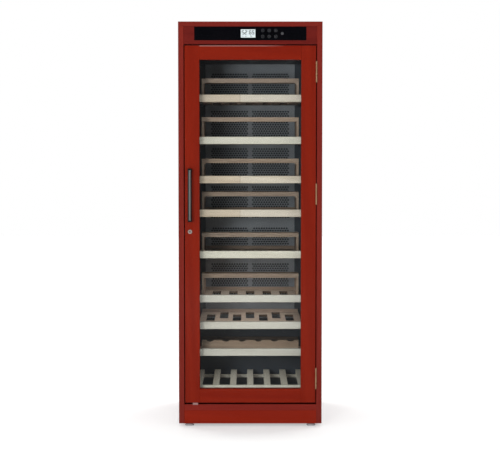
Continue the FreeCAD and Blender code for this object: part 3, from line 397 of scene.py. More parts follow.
base_across = timber_finish("base_lacquer_across", "across", **CASE_RED, shift=3.8, gain=1.26)
case_deep = timber_finish("case_lacquer_front_to_back", "front to back", **CASE_RED, shift=1.7)
fascia_across = timber_finish("fascia_lacquer_across", "across", **FASCIA_RED, shift=5.9)
case_upright = timber_finish("case_satin_upright", "upright", **SIDE_SATIN, shift=2.3, gain=1.14)
set_gloss(case_upright, 0.2)
top_satin = timber_finish("top_board_satin", "across", **TOP_SATIN, shift=4.7, gain=1.1)
set_gloss(top_satin, 0.15)
print("finishes so far:", len(bpy.data.materials))

# %% [markdown]
# ## Shelf woods
# The lips are beech, some paler and some greyer, as boards from several trees are. The frames behind them
# are stained brown, and the stain took a little differently on each. A deck lies lower than the top of its
# lip, by less on the flat shelf, and the group for decks needs that level: it paints light on the decks'
# upper faces and shade in their slots. The frame with the scalloped bar has painted shade over its rear half.
# The rack on the floor is a pale grey wood, with painted light on the tops of its slats.

# %% Make the lips and the rack
WAXED = {"pores": 0.18, "smooth": 0.45, "rough": 0.62, "relief": 0.07}
STAINED = {"pores": 0.35, "smooth": 0.5, "rough": 0.7, "relief": 0.3}
PALE_BEECH = {"pale": (0.74, 0.675, 0.585), "dark": (0.60, 0.525, 0.43),
              "drift": (0.65, 0.595, 0.54), **WAXED}
WARM_BEECH = {"pale": (0.66, 0.555, 0.47), "dark": (0.53, 0.425, 0.34),
              "drift": (0.56, 0.48, 0.425), **WAXED}
GREY_BEECH = {"pale": (0.595, 0.537, 0.478), "dark": (0.475, 0.414, 0.348),
              "drift": (0.51, 0.467, 0.435), **WAXED}
RACK_GREY = {"pale": (0.60, 0.56, 0.49), "dark": (0.47, 0.42, 0.355),
             "drift": (0.53, 0.49, 0.44), **STAINED}
# Painted light: a tint that makes the tops of the rack's slats a little paler.
LIT_SLAT_TINT = (1.05, 1.05, 1.02, 1.0)
LIP_BEECH = {"pale": (PALE_BEECH, 0.0, 1.08), "jointed": (WARM_BEECH, 6.4, 1.10),
             "grey": (GREY_BEECH, 8.2, 1.24), "soft": (PALE_BEECH, 0.0, 1.01),
             "dull": (GREY_BEECH, 8.2, 1.10)}
beech = {tone: timber_finish(f"{tone}_waxed_beech", "across", **wood, shift=shift, gain=gain)
         for tone, (wood, shift, gain) in LIP_BEECH.items()}
rack_deep = timber_finish("rack_slat_wood", "front to back", **RACK_GREY, shift=7.3, gain=1.5,
                          deck={"Painted Top Light": LIT_SLAT_TINT})
print("lip woods:", list(beech))

# %% Make the shelf frames
BROWN = {"pale": (0.44, 0.315, 0.235), "dark": (0.29, 0.193, 0.138),
         "drift": (0.375, 0.277, 0.235), **STAINED}
# Painted light: a tint that makes the upper faces of the decks much paler, where the shelves above keep light
# off.
LIT_DECK_TINT = (1.75, 1.9, 1.95, 1.0)
STAIN_GAINS = {1: 1.16, 2: 1.10, 3: 1.02, 4: 0.97, 5: 0.88, 6: 0.95, 7: 1.10, 8: 1.0}
DECK_DROP, PLAIN_DECK_DROP, DECK_MARGIN = 0.023, 0.010, 0.0004
# Painted shade: the scalloped shelf's frame is darkened behind the depth given last here.
PLAIN_SHELF, SCALLOP_SHELF, REAR_SHADE_FROM = 7, 8, 0.0
frame_finishes = {}
for number, stain_gain in STAIN_GAINS.items():
    lip_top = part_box(f"shelf_{number}_front")[1].z
    drop = PLAIN_DECK_DROP if number == PLAIN_SHELF else DECK_DROP
    tones = {"Painted Top Light": LIT_DECK_TINT, "Deck Level": lip_top - drop - DECK_MARGIN}
    if number == SCALLOP_SHELF:
        tones["Shade From"] = REAR_SHADE_FROM
    frame_finishes[number] = timber_finish(f"stained_frame_{number}", "across", **BROWN, gain=stain_gain,
                                           deck=tones)
print("finishes so far:", len(bpy.data.materials))

# %% [markdown]
# ## Jointed lips and a painted edge highlight
# Three lips are glued from two lengths of beech that meet left of the middle, with a thin dark line at the
# joint. The door's top rail has a painted highlight along its upper edge, a pale strip from the left to a
# little past the middle. Both are changes to the colour of a finish by the place on the board.

# %% Change the two finishes
JOINT_X, JOINT_HALF = -0.047, 0.0012
LEFT_TINT, JOINT_TINT = (0.93, 0.87, 0.81, 1.0), (0.62, 0.55, 0.48, 1.0)
# Painted highlight on the door's top rail: its height below the top, where it starts to fade, where it ends,
# and its colour.
EDGE_HIGHLIGHT_HEIGHT, EDGE_HIGHLIGHT_FULL, EDGE_HIGHLIGHT_END = 0.0036, 0.06, 0.16
EDGE_HIGHLIGHT_COLOUR = (0.27, 0.115, 0.10, 1.0)


def opened(finish):
    """A finish to change: its tree, its shader, and the socket that gives its colour."""
    tree = finish.node_tree
    shader = tree.nodes["Principled BSDF"]
    return tree, shader, shader.inputs["Base Color"].links[0].from_socket


def board_place(tree):
    """The place on the board, as three separate measures."""
    return add(tree, "SeparateXYZ", {0: add(tree, "TexCoord").outputs["Object"]}).outputs


joint_tree, joint_shader, joint_grain = opened(beech["jointed"])
lip_place = board_place(joint_tree)
left_board = worked_out(joint_tree, "LESS_THAN", lip_place["X"], JOINT_X)
on_joint = worked_out(joint_tree, "COMPARE", lip_place["X"], JOINT_X, JOINT_HALF)
board_tint = mixed(joint_tree, left_board, WHITE, LEFT_TINT)
board_tint = mixed(joint_tree, on_joint, board_tint, JOINT_TINT)
feed(joint_tree, joint_shader, {"Base Color": mixed(joint_tree, 1.0, joint_grain, board_tint, "MULTIPLY")})

# Painted highlight along the upper edge of the top rail, fading out past the middle.
highlight_tree, highlight_shader, rail_grain = opened(top_rail_highlighted)
rail_place = board_place(highlight_tree)
rail_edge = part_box("door_rail_top")[1].z - EDGE_HIGHLIGHT_HEIGHT
on_edge = spread(highlight_tree, rail_place["Z"], rail_edge - EDGE_HIGHLIGHT_HEIGHT / 4, rail_edge, 0.0, 1.0)
along_edge = spread(highlight_tree, rail_place["X"], EDGE_HIGHLIGHT_FULL, EDGE_HIGHLIGHT_END, 1.0, 0.0)
edge_highlight = worked_out(highlight_tree, "MULTIPLY", on_edge, along_edge)
feed(highlight_tree, highlight_shader, {"Base Color": mixed(highlight_tree, edge_highlight, rail_grain, EDGE_HIGHLIGHT_COLOUR)})
print("joint at", JOINT_X, "painted edge highlight at", round(rail_edge, 4))

# %% [markdown]
# ## Metal, plastic and rubber
# The remaining finishes share one function. It mixes two near colours by the patches of the handled group,
# and the shader's own sockets say whether the piece is metal. A brushed finish is the same thing with its
# place stretched along the brushing.

# %% Make the other materials
SPECKLE_DEPTH = 0.0002


def worked_finish(name, colour, second, smooth, rough, metallic=0.0, patch=9.0, grain=900.0, relief=0.05,
                  stretch=(1.0, 1.0, 1.0)):
    """A paint, plastic, rubber or metal: two near colours, with roughness and fine grain over them."""
    finish, tree, shader = new_finish(name)
    scaled = add(tree, "Mapping", {"Vector": add(tree, "TexCoord").outputs["Object"], "Scale": stretch})
    surface = add(tree, "Group", {"Place": scaled.outputs["Vector"], "Patch Scale": patch,
                                  "Grain Scale": grain, "Smooth": smooth, "Rough": rough},
                  node_tree=handled_group).outputs
    tint = mixed(tree, surface["Patches"], colour + (1.0,), second + (1.0,))
    bump = add(tree, "Bump", {"Height": surface["Height"], "Strength": relief, "Distance": SPECKLE_DEPTH})
    feed(tree, shader, {"Base Color": tint, "Roughness": surface["Roughness"], "Metallic": metallic,
                        "Normal": bump.outputs["Normal"]})
    return finish


panel_black = worked_finish("black_panel_glass", (0.0012, 0.0012, 0.0020), (0.0018, 0.0016, 0.0026),
                            0.05, 0.12, relief=0.0)
set_gloss(panel_black, 0.3)
key_grey = worked_finish("printed_key_grey", (0.040, 0.040, 0.045), (0.060, 0.060, 0.064), 0.4, 0.55)
key_dark = worked_finish("dark_key_face", (0.0045, 0.0045, 0.0060), (0.0080, 0.0075, 0.0095), 0.16, 0.28)
figure_dark = worked_finish("display_figure_dark", (0.010, 0.013, 0.016), (0.018, 0.021, 0.024), 0.5, 0.6)
seal_black = worked_finish("seal_rubber", (0.012, 0.012, 0.013), (0.022, 0.022, 0.023), 0.55, 0.75,
                           relief=0.2)
handle_black = worked_finish("satin_black_metal", (0.0060, 0.0060, 0.0065), (0.0110, 0.0110, 0.0115),
                             0.28, 0.42)
handle_strip = worked_finish("brushed_handle_strip", (0.155, 0.170, 0.162), (0.120, 0.132, 0.127),
                             0.28, 0.45, 0.3, patch=60.0, grain=2500.0, stretch=(1.0, 1.0, 0.02))
lock_chrome = worked_finish("worn_lock_chrome", (0.62, 0.51, 0.47), (0.52, 0.43, 0.39), 0.12, 0.26, 0.6,
                            patch=60.0)
bright_chrome = worked_finish("bright_chrome", (0.84, 0.84, 0.86), (0.76, 0.76, 0.78), 0.10, 0.20, 0.5)
hinge_brass = worked_finish("hinge_brass", (0.52, 0.33, 0.19), (0.43, 0.26, 0.14), 0.22, 0.4, 0.5, patch=30.0)
plain_steel = worked_finish("plain_steel", (0.42, 0.42, 0.43), (0.34, 0.34, 0.35), 0.3, 0.5, 1.0)
rest_plastic = worked_finish("pale_rest_plastic", (0.27, 0.155, 0.145), (0.23, 0.13, 0.12), 0.4, 0.55)
dark_plastic = worked_finish("dark_moulded_plastic", (0.014, 0.014, 0.015), (0.022, 0.022, 0.023), 0.4, 0.6,
                             relief=0.25)
liner_dark = worked_finish("liner_plastic", (0.022, 0.024, 0.031), (0.031, 0.034, 0.043), 0.35, 0.55,
                           relief=0.1)
duct_paint = worked_finish("duct_paint", (0.280, 0.284, 0.316), (0.358, 0.363, 0.401), 0.35, 0.5, patch=5.0)
# The darker paint of the panel's foot, also used as painted shade on the strips along its sides.
foot_paint_and_side_shade = worked_finish("lower_panel_paint_and_side_shade", (0.058, 0.065, 0.082), (0.077, 0.085, 0.104), 0.35, 0.5,
                            patch=5.0)
coil_paint = worked_finish("cooling_plate_paint", (0.012, 0.012, 0.013), (0.020, 0.020, 0.021), 0.4, 0.6)
foam_cream = worked_finish("insulation_foam", (0.62, 0.54, 0.32), (0.54, 0.46, 0.26), 0.8, 0.95, relief=0.8,
                           grain=350.0)
cover_paint = worked_finish("rear_cover_paint", (0.041, 0.041, 0.043), (0.044, 0.044, 0.046), 0.46, 0.52,
                            patch=22.0, relief=0.2)
fin_metal = worked_finish("cooling_fin_metal", (0.58, 0.58, 0.59), (0.48, 0.48, 0.50), 0.3, 0.5, 1.0)
can_paint = worked_finish("compressor_paint", (0.008, 0.008, 0.009), (0.014, 0.014, 0.015), 0.3, 0.5)
lamp_cover = worked_finish("lamp_diffuser", (0.80, 0.82, 0.84), (0.74, 0.76, 0.78), 0.45, 0.6)
print("finishes so far:", len(bpy.data.materials))

# %% [markdown]
# ## Glass and the lit display
# The two panes are clear float glass. Light from the studio has to reach the shelves through them, and
# following it by refraction takes many samples, so shadow and diffuse rays go straight through. The
# camera's own rays still meet real glass. The display is a pale window that glows a little.

# %% Make the glass and the display
DISPLAY_GLOW = 0.18
pane_glass, glass_tree, glass_shader = new_finish("clear_pane_glass")
glass_place = add(glass_tree, "TexCoord").outputs["Object"]
glass_surface = add(glass_tree, "Group", {"Place": glass_place, "Patch Scale": 4.0, "Grain Scale": 60.0,
                                          "Smooth": 0.0, "Rough": 0.02}, node_tree=handled_group)
feed(glass_tree, glass_shader, {"Roughness": glass_surface.outputs["Roughness"], "IOR": 1.45,
                                "Base Color": (0.97, 0.985, 0.98, 1.0), "Transmission Weight": 1.0})
glass_path = add(glass_tree, "LightPath").outputs
glass_through = add(glass_tree, "BsdfTransparent", {"Color": (0.94, 0.955, 0.95, 1.0)})
unseen_ray = worked_out(glass_tree, "MAXIMUM", glass_path["Is Shadow Ray"], glass_path["Is Diffuse Ray"])
glass_seen = either(glass_tree, unseen_ray, glass_shader.outputs[0], glass_through.outputs[0])
feed(glass_tree, glass_tree.nodes["Material Output"], {"Surface": glass_seen})

display_lit = worked_finish("lit_display", (0.46, 0.52, 0.54), (0.52, 0.58, 0.59), 0.2, 0.3, patch=40.0)
display_tree, display_shader, display_tint = opened(display_lit)
feed(display_tree, display_shader, {"Emission Color": display_tint, "Emission Strength": DISPLAY_GLOW})
print("glass IOR:", round(glass_shader.inputs["IOR"].default_value, 2))

# %% [markdown]
# ## Finishes on the solids
# Each sub-part of the cabinet takes one finish. The table is by finish, because most finishes are shared.

# %% Give every node its finish
FOOT_CORNERS = ("front_left", "front_right", "rear_left", "rear_right")
NODE_FINISHES = {
    door_upright: ["door_stile_left", "door_stile_right"],
    top_rail_highlighted: ["door_rail_top"],
    door_across: ["door_rail_bottom"],
    kick_across: ["kick_plate"],
    case_upright: ["side_panel_left", "side_panel_right"],
    top_satin: ["top_board"],
    base_across: ["base_rail"],
    case_deep: ["base_board"],
    fascia_across: ["fascia_board"],
    beech["jointed"]: ["shelf_1_front", "shelf_3_front", "shelf_4_front"],
    beech["soft"]: ["shelf_2_front"],
    beech["pale"]: ["shelf_5_front"],
    beech["grey"]: ["shelf_6_front", "shelf_7_front"],
    beech["dull"]: ["shelf_8_front"],
    **{finish: [f"shelf_{number}_frame"] for number, finish in frame_finishes.items()},
    rack_deep: ["floor_rack"],
    panel_black: ["control_panel"],
    key_dark: ["touch_keys"],
    display_lit: ["display_module"],
    pane_glass: ["glass_panes"],
    plain_steel: ["glass_spacer", "lock_strike"],
    seal_black: ["door_gasket"],
    handle_black: ["handle_bar"],
    handle_strip: ["handle_inlay"],
    lock_chrome: ["lock_barrel", "lock_plug"],
    bright_chrome: [f"foot_{corner}" for corner in FOOT_CORNERS],
    hinge_brass: ["hinge_leaves_cabinet", "hinge_leaves_door", "hinge_pins"],
    rest_plastic: ["door_rest_block"],
    dark_plastic: ["fan_frame", "fan_rotor", "power_inlet"],
    liner_dark: ["front_frame", "inner_liner", "shelf_rails"],
    duct_paint: ["duct_panel"],
    foam_cream: ["insulation"],
    cover_paint: ["back_cover"],
    coil_paint: ["evaporator"],
    fin_metal: ["condenser"],
    can_paint: ["compressor"],
    lamp_cover: ["led_strip"],
}
dressed = set()
for finish, names in NODE_FINISHES.items():
    for name in names:
        for slot in cabinet_nodes[name].material_slots:
            slot.material = finish
        dressed.add(name)
print("dressed:", len(dressed), "left:", sorted(set(cabinet_nodes) - dressed))

# %% [markdown]
# ## Making a mesh from arrays
# All the new pieces are worked out as whole arrays of points and faces. Points that fall on the same place
# are welded first where cells meet, so that neighbours share their corners and no seam stays open.

# %% Points and faces
MICROMETRES = 1e6


def welded(points, faces):
    """Points that lie within a micrometre become one, and the faces are renumbered to match."""
    keys = np.round(points * MICROMETRES).astype(np.int64)
    _, first, renumbered = np.unique(keys, axis=0, return_index=True, return_inverse=True)
    return points[first], renumbered.reshape(-1)[faces]


def full_turn(sides):
    """The angles of equal steps round a full turn."""
    return np.arange(sides) * 2 * np.pi / sides


def bridged(loops, count, closed=False):
    """Quads between neighbouring loops of so many points each, numbered one loop after the other. A quad goes
    along one loop by a step and back along the next; closed also joins the last loop to the first."""
    step = np.arange(count)
    after = np.roll(step, -1)
    ring = np.arange(loops if closed else loops - 1)[:, None] * count
    ahead = (ring + count) % (loops * count)
    return np.stack([ring + step, ring + after, ahead + after, ahead + step], axis=-1).reshape(-1, 4)


def for_copies(faces, size, copies):
    """The faces of one shape, renumbered for each of its copies by the shape's size in points."""
    return (faces + size * np.arange(copies)[:, None, None]).reshape(-1, faces.shape[-1])


def joined(*parts):
    """Several sets of points and faces as one."""
    starts = np.cumsum([0] + [len(points) for points, _ in parts])
    points = np.concatenate([points for points, _ in parts])
    return points, [face + start for (_, faces), start in zip(parts, starts) for face in faces]


print("a tube of 3 loops of 8 points has", len(bridged(3, 8)), "quads")

# %% Put a piece into the scene


def make_piece(name, points, faces, finish, body, slot_name, smooth=False):
    """A piece from an array of points and lists of faces, riding on a body."""
    mesh = bpy.data.meshes.new(name)
    mesh.from_pydata(points.tolist(), [], [face for group in faces for face in group.tolist()])
    mesh.polygons.foreach_set("use_smooth", np.full(len(mesh.polygons), smooth))
    mesh.materials.append(finish)
    mesh.update()
    piece = bpy.data.objects.new(name, mesh)
    scene.collection.objects.link(piece)
    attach(piece, body)
    print(name, len(mesh.vertices), "points,", len(mesh.polygons), "faces")
    return piece


# %% [markdown]
# ## The perforated panel
# Cold air enters through two fields of small round holes beside the middle of the rear panel, in six bands.
# A texture could fake the holes, but light falls into real ones, and they stay true from close by. Each
# hole is one cell: an eight-sided hole inside a rectangle with eight points on its rim. Every second row
# is shifted by half a cell, so a cell's corners meet the middles of its neighbours and nothing gapes. The
# foot of the panel, below the seventh shelf, has a darker paint, and a strip along each side takes the same
# dark colour as painted shade beside the side walls.

# %% One field of holes, and plain sheet
PANEL_LOW, PANEL_HIGH = (np.array(corner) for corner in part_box("duct_panel"))
HOLE_PITCH, HOLE_RADIUS, HOLE_SIDES = 0.01247, 0.0047, 8
ROW_PITCH = HOLE_PITCH * np.sqrt(0.75)
# Below the lower edge the panel has a darker paint; outside the side edge the same colour is painted shade.
LOWER_EDGE, SHADED_SIDE_EDGE = 0.43, 0.221
FIELD_SIDES = np.array([0.008, 0.195])
BANDS = np.array([[0.506, 0.706], [0.731, 0.885], [0.930, 1.090], [1.110, 1.279], [1.304, 1.464],
                  [1.499, 1.648]])


def perforated_cells(left, right, foot, top):
    """Cells of one field. A cell's rim runs round its rectangle by eighths of a turn, and its hole is the
    same eight directions at the hole's radius; both are repeated on the rear face of the sheet."""
    columns = int(round((right - left) / HOLE_PITCH))
    rows = int(round((top - foot) / ROW_PITCH))
    wide, tall = (right - left) / columns, (top - foot) / rows
    column, row = np.meshgrid(np.arange(columns), np.arange(rows))
    odd = row % 2 == 1
    kept = ~(odd & (column == columns - 1))
    centre_x = (left + (column + 0.5 + 0.5 * odd) * wide)[kept]
    centre_z = (foot + (row + 0.5) * tall)[kept]
    turn = full_turn(HOLE_SIDES)
    rim = np.stack([np.sign(np.round(np.cos(turn), 6)) * wide / 2,
                    np.sign(np.round(np.sin(turn), 6)) * tall / 2], axis=1)
    hole = HOLE_RADIUS * np.stack([np.cos(turn), np.sin(turn)], axis=1)
    rings = np.stack([rim, hole, hole, rim])
    depth = np.array([PANEL_LOW[1], PANEL_LOW[1], PANEL_HIGH[1], PANEL_HIGH[1]])
    cells = np.empty((len(centre_x), len(rings), HOLE_SIDES, 3))
    cells[..., 0] = centre_x[:, None, None] + rings[None, :, :, 0]
    cells[..., 1] = depth[None, :, None]
    cells[..., 2] = centre_z[:, None, None] + rings[None, :, :, 1]
    quads = for_copies(bridged(len(rings), HOLE_SIDES), len(rings) * HOLE_SIDES, len(centre_x))
    halves = foot + np.arange(rows)[np.arange(rows) % 2 == 1] * tall
    ends = np.array([[left, left + wide / 2], [right - wide / 2, right]])
    patch = np.stack(np.broadcast_arrays(ends[:, None, :1], ends[:, None, 1:], halves[None, :, None],
                                         halves[None, :, None] + tall), axis=-1).reshape(-1, 4)
    return cells.reshape(-1, 3), quads, patch


def plain_patches(spans):
    """Plain rectangles of the sheet, each on its front and rear face, from left, right, foot and top."""
    corner_x = spans[:, [0, 1, 1, 0]]
    corner_z = spans[:, [2, 2, 3, 3]]
    front = np.stack([corner_x, np.full_like(corner_x, PANEL_LOW[1]), corner_z], axis=-1)
    rear = np.stack([corner_x[:, ::-1], np.full_like(corner_x, PANEL_HIGH[1]), corner_z[:, ::-1]], axis=-1)
    points = np.concatenate([front, rear]).reshape(-1, 3)
    return points, np.arange(len(points)).reshape(-1, 4)


print("panel size:", np.round(PANEL_HIGH - PANEL_LOW, 4))

# %% Build the perforated panel
lines_x = np.concatenate([[PANEL_LOW[0], -SHADED_SIDE_EDGE], -FIELD_SIDES[::-1], FIELD_SIDES,
                          [SHADED_SIDE_EDGE, PANEL_HIGH[0]]])
lines_z = np.concatenate([[PANEL_LOW[2], LOWER_EDGE], BANDS.ravel(), [PANEL_HIGH[2]]])
LEFT_FIELD, RIGHT_FIELD = 2, 4
span_x, span_z = np.meshgrid(np.arange(len(lines_x) - 1), np.arange(len(lines_z) - 1))
is_field = ((span_x == LEFT_FIELD) | (span_x == RIGHT_FIELD)) & (span_z % 2 == 0) & (span_z > 0)
spans = np.stack([lines_x[span_x], lines_x[span_x + 1], lines_z[span_z], lines_z[span_z + 1]], axis=-1)
fields = [perforated_cells(*span) for span in spans[is_field]]
plain_spans = np.concatenate([spans[~is_field]] + [patch for _, _, patch in fields])
plain_points, plain_quads = plain_patches(plain_spans)
panel_points, panel_faces = joined(*[(points, [quads]) for points, quads, _ in fields],
                                   (plain_points, [plain_quads]))
panel_points, panel_quads = welded(panel_points, np.concatenate(panel_faces))
duct_sheet = make_piece("perforated_duct_sheet", panel_points, [panel_quads], duct_paint, "cabinet",
                        "duct_metal")
duct_sheet.data.materials.append(foot_paint_and_side_shade)
# Faces of the dark foot, and of the painted-shade strips along the sides, take the second finish.
face_middle = panel_points[panel_quads].mean(axis=1)
dark_foot_and_shaded_sides = (face_middle[:, 2] < LOWER_EDGE) | (np.abs(face_middle[:, 0]) > SHADED_SIDE_EDGE)
duct_sheet.data.polygons.foreach_set("material_index", dark_foot_and_shaded_sides.astype(np.int32))
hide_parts("duct_panel")

# %% [markdown]
# ## Figures and marks
# The display shows two plain numbers in seven-segment figures, and the keys carry thin rings with simple
# marks. All of them are short bars with pointed ends, so one function makes a whole set of bars from their
# two ends. A second function turns rings with any section, and a third uses it for flat rings.

# %% Bars and rings
RING_SIDES = 28


def pointed_bars(starts, ends, width, front, rear):
    """Bars between pairs of points of the upright plane. Each has six corners: its two tips, and four
    shoulders half a width inside the tips and half a width to either side; the outline is repeated behind."""
    along = ends - starts
    along = along / np.linalg.norm(along, axis=1, keepdims=True) * width / 2
    aside = np.stack([-along[:, 1], along[:, 0]], axis=1)
    outline = np.stack([starts, starts + along - aside, ends - along - aside, ends,
                        ends - along + aside, starts + along + aside], axis=1)
    count, corners = outline.shape[:2]
    points = np.empty((count, 2, corners, 3))
    points[..., 0] = outline[:, None, :, 0]
    points[..., 1] = np.array([front, rear])[None, :, None]
    points[..., 2] = outline[:, None, :, 1]
    face = np.arange(corners)[None]
    sides = bridged(2, corners)[:, [1, 0, 3, 2]]
    return points.reshape(-1, 3), [for_copies(shape, 2 * corners, count)
                                   for shape in (face, corners + face[:, ::-1], sides)]


def turned_rings(centres, section, sides=RING_SIDES):
    """Rings whose section is a closed loop of radius and depth, from the outer rear round by the front. Each
    point of the loop is spun into a circle, and neighbouring circles are joined."""
    turn = full_turn(sides)
    count = len(section)
    points = np.empty((len(centres), count, sides, 3))
    points[..., 0] = centres[:, None, None, 0] + section[:, None, 0] * np.cos(turn)
    points[..., 1] = section[None, :, None, 1]
    points[..., 2] = centres[:, None, None, 1] + section[:, None, 0] * np.sin(turn)
    ring = bridged(count, sides, closed=True)
    return points.reshape(-1, 3), [for_copies(ring, count * sides, len(centres))]


def flat_rings(centres, inner, outer, front, rear, sides=RING_SIDES):
    """Rings of a square section, whose corners are the outer rear, outer front, inner front and inner rear."""
    section = np.array([[outer, rear], [outer, front], [inner, front], [inner, rear]])
    return turned_rings(centres, section, sides)


# %% Figures on the display
PROUD, SUNK = 0.0002, 0.0001
SEGMENTS = np.array([[[0, 2], [1, 2]], [[1, 2], [1, 1]], [[1, 1], [1, 0]], [[0, 0], [1, 0]],
                     [[0, 1], [0, 0]], [[0, 2], [0, 1]], [[0, 1], [1, 1]]], float)
FIGURES = {"2": [0, 1, 6, 4, 3], "5": [0, 5, 6, 2, 3], "6": [0, 5, 4, 3, 2, 6]}
SHOWN = [("5", 0.0060), ("2", 0.0185), ("6", 0.0385), ("5", 0.0510)]
FIGURE_SIZE, FIGURE_FOOT, FIGURE_STROKE = np.array([0.0085, 0.0080]), 0.0155, 0.0034
STROKE_GAP, UNIT_STROKE = 0.06, 0.0014
UNITS = np.array([[[0.020, 0.006], [0.026, 0.006]], [[0.023, 0.0035], [0.023, 0.0085]],
                  [[0.044, 0.004], [0.050, 0.0085]], [[0.0045, 0.006], [0.013, 0.006]]])
DOTS = np.array([[0.0445, 0.0080], [0.0495, 0.0045], [0.0290, 0.0305]])
DOT_INNER, DOT_OUTER, DOT_SIDES = 0.0006, 0.0014, 16
display_low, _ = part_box("display_module")
display_corner = np.array([display_low.x, display_low.z])
figure_depth = (display_low.y - PROUD, display_low.y + SUNK)
strokes = np.concatenate([SEGMENTS[FIGURES[figure]] * FIGURE_SIZE + [across, FIGURE_FOOT]
                          for figure, across in SHOWN]) + display_corner
inset = (strokes[:, 1] - strokes[:, 0]) * STROKE_GAP
units = UNITS + display_corner
figures = joined(pointed_bars(strokes[:, 0] + inset, strokes[:, 1] - inset, FIGURE_STROKE, *figure_depth),
                 pointed_bars(units[:, 0], units[:, 1], UNIT_STROKE, *figure_depth),
                 flat_rings(DOTS + display_corner, DOT_INNER, DOT_OUTER, *figure_depth, sides=DOT_SIDES))
make_piece("display_figures", *figures, figure_dark, "cabinet", "key_print")

# %% Marks on the keys
KEY_SIZE, KEY_COLUMNS, MARK_SIZE, MARK_STROKE = 0.017, 4, 0.0036, 0.0010
KEY_RING, SMALL_RING, LAST_DISC = (0.0062, 0.0072), (0.0022, 0.0031), (0.0001, 0.0062)
MARKS = [
    [[[-1, -0.5], [0, 0.7]], [[0, 0.7], [1, -0.5]]],
    [[[0, 0.1], [0, 0.9]]],
    [[[-0.9, 0], [0.9, 0]], [[-0.45, -0.8], [0.45, 0.8]], [[-0.45, 0.8], [0.45, -0.8]]],
    [[[-1, 0.5], [0, -0.7]], [[0, -0.7], [1, 0.5]]],
    [[[-0.6, 0.3], [0.6, 0.3]], [[-0.6, -0.3], [0.6, -0.3]]],
    [[[-0.8, 0], [0.8, 0]], [[0, -0.8], [0, 0.8]]],
]
key_low, key_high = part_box("touch_keys")
key_depth = (key_low.y - PROUD, key_low.y + SUNK)
key_column = np.linspace(key_low.x + KEY_SIZE / 2, key_high.x - KEY_SIZE / 2, KEY_COLUMNS)
key_row = np.array([key_high.z - KEY_SIZE / 2, key_low.z + KEY_SIZE / 2])
key_centres = np.stack(np.meshgrid(key_column[:-1], key_row), axis=-1).reshape(-1, 2)
last_key = np.array([[key_column[-1], key_row.mean()]])
mark_bars = np.concatenate([np.array(mark, float) * MARK_SIZE + centre
                            for mark, centre in zip(MARKS, key_centres)])
marks = joined(flat_rings(key_centres, *KEY_RING, *key_depth),
               flat_rings(key_centres[1:2], *SMALL_RING, *key_depth),
               flat_rings(last_key, *LAST_DISC, *key_depth),
               pointed_bars(mark_bars[:, 0], mark_bars[:, 1], MARK_STROKE, *key_depth))
make_piece("key_marks", *marks, key_grey, "cabinet", "key_print")

# %% [markdown]
# ## The lock's rim and the painted shade of its keyway
# A cam lock has a pressed chrome rim, domed from its edge to its middle, and a keyway. The rim is a ring with
# a rounded section, in front of the plain flange. The shade inside the keyway is painted as a dark bar on the
# plug's face, so it turns with the plug.

# %% Build the rim and the keyway
RIM_OUTER, RIM_INNER, RIM_RISE, RIM_SUNK = 0.0098, 0.0053, 0.0022, 0.0002
RIM_STEPS, RIM_SIDES = 8, 40
KEYWAY_HALF, KEYWAY_WIDTH, KEYWAY_PROUD, KEYWAY_SUNK = 0.0040, 0.0034, 0.0003, 0.0002
barrel_low, barrel_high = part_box("lock_barrel")
plug_low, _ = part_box("lock_plug")
lock_centre = np.array([[(barrel_low.x + barrel_high.x) / 2, (barrel_low.z + barrel_high.z) / 2]])
rim_turn = np.linspace(0.0, 1.0, RIM_STEPS)
rim_arc = np.stack([RIM_OUTER - (RIM_OUTER - RIM_INNER) * rim_turn,
                    barrel_low.y - RIM_RISE * np.sin(rim_turn * np.pi / 2)], axis=1)
rim_rear = barrel_low.y + RIM_SUNK
rim_section = np.concatenate([[[RIM_OUTER, rim_rear]], rim_arc, [[RIM_INNER, rim_rear]]])
lock_rim = turned_rings(lock_centre, rim_section, RIM_SIDES)
make_piece("domed_lock_rim", *lock_rim, lock_chrome, "door", "chrome", smooth=True)
# Painted shade: a dark bar on the plug's face stands for the shade inside the keyway.
keyway = np.array([[0.0, -KEYWAY_HALF], [0.0, KEYWAY_HALF]]) + lock_centre
keyway_shade_bar = pointed_bars(keyway[:1], keyway[1:], KEYWAY_WIDTH, plug_low.y - KEYWAY_PROUD,
                          plug_low.y + KEYWAY_SUNK)
make_piece("lock_keyway_shade", *keyway_shade_bar, key_dark, "lock_plug", "black_plastic")

# %% [markdown]
# ## The door's seal
# The seal is a soft extrusion with a folded bellows: a foot in the door, a narrow neck, and a rounded lip
# that meets the cabinet. It runs round the door as one frame with mitred corners. A profile carried round
# a rectangle gives it: at each corner the profile moves outwards along both sides, which is the mitre.

# %% Build the folded seal
SEAL_WIDTH = 0.011
SEAL_HALF = np.array([[0.50, 0.00], [0.50, 0.10], [0.22, 0.16], [0.18, 0.28], [0.42, 0.42], [0.50, 0.58],
                      [0.47, 0.80], [0.34, 0.94], [0.15, 1.00]])
seal_low, seal_high = (np.array(corner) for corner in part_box("door_gasket"))
seal_profile = np.concatenate([SEAL_HALF * [-1, 1], SEAL_HALF[::-1]])


def carried_round(profile, low, high):
    """A profile carried round the rectangle that runs half a width inside a box. Its first measure moves
    each corner outwards along both sides at once, and its second goes from the box's front to its rear."""
    turn = np.array([[-1, -1], [1, -1], [1, 1], [-1, 1]])
    middle = (low + high) / 2
    half = (high - low) / 2 - SEAL_WIDTH / 2
    points = np.empty((len(turn), len(profile), 3))
    points[..., 0] = middle[0] + turn[:, :1] * (half[0] + profile[None, :, 0] * SEAL_WIDTH)
    points[..., 1] = low[1] + profile[None, :, 1] * (high[1] - low[1])
    points[..., 2] = middle[2] + turn[:, 1:] * (half[2] + profile[None, :, 0] * SEAL_WIDTH)
    return points.reshape(-1, 3), [bridged(len(turn), len(profile), closed=True)]


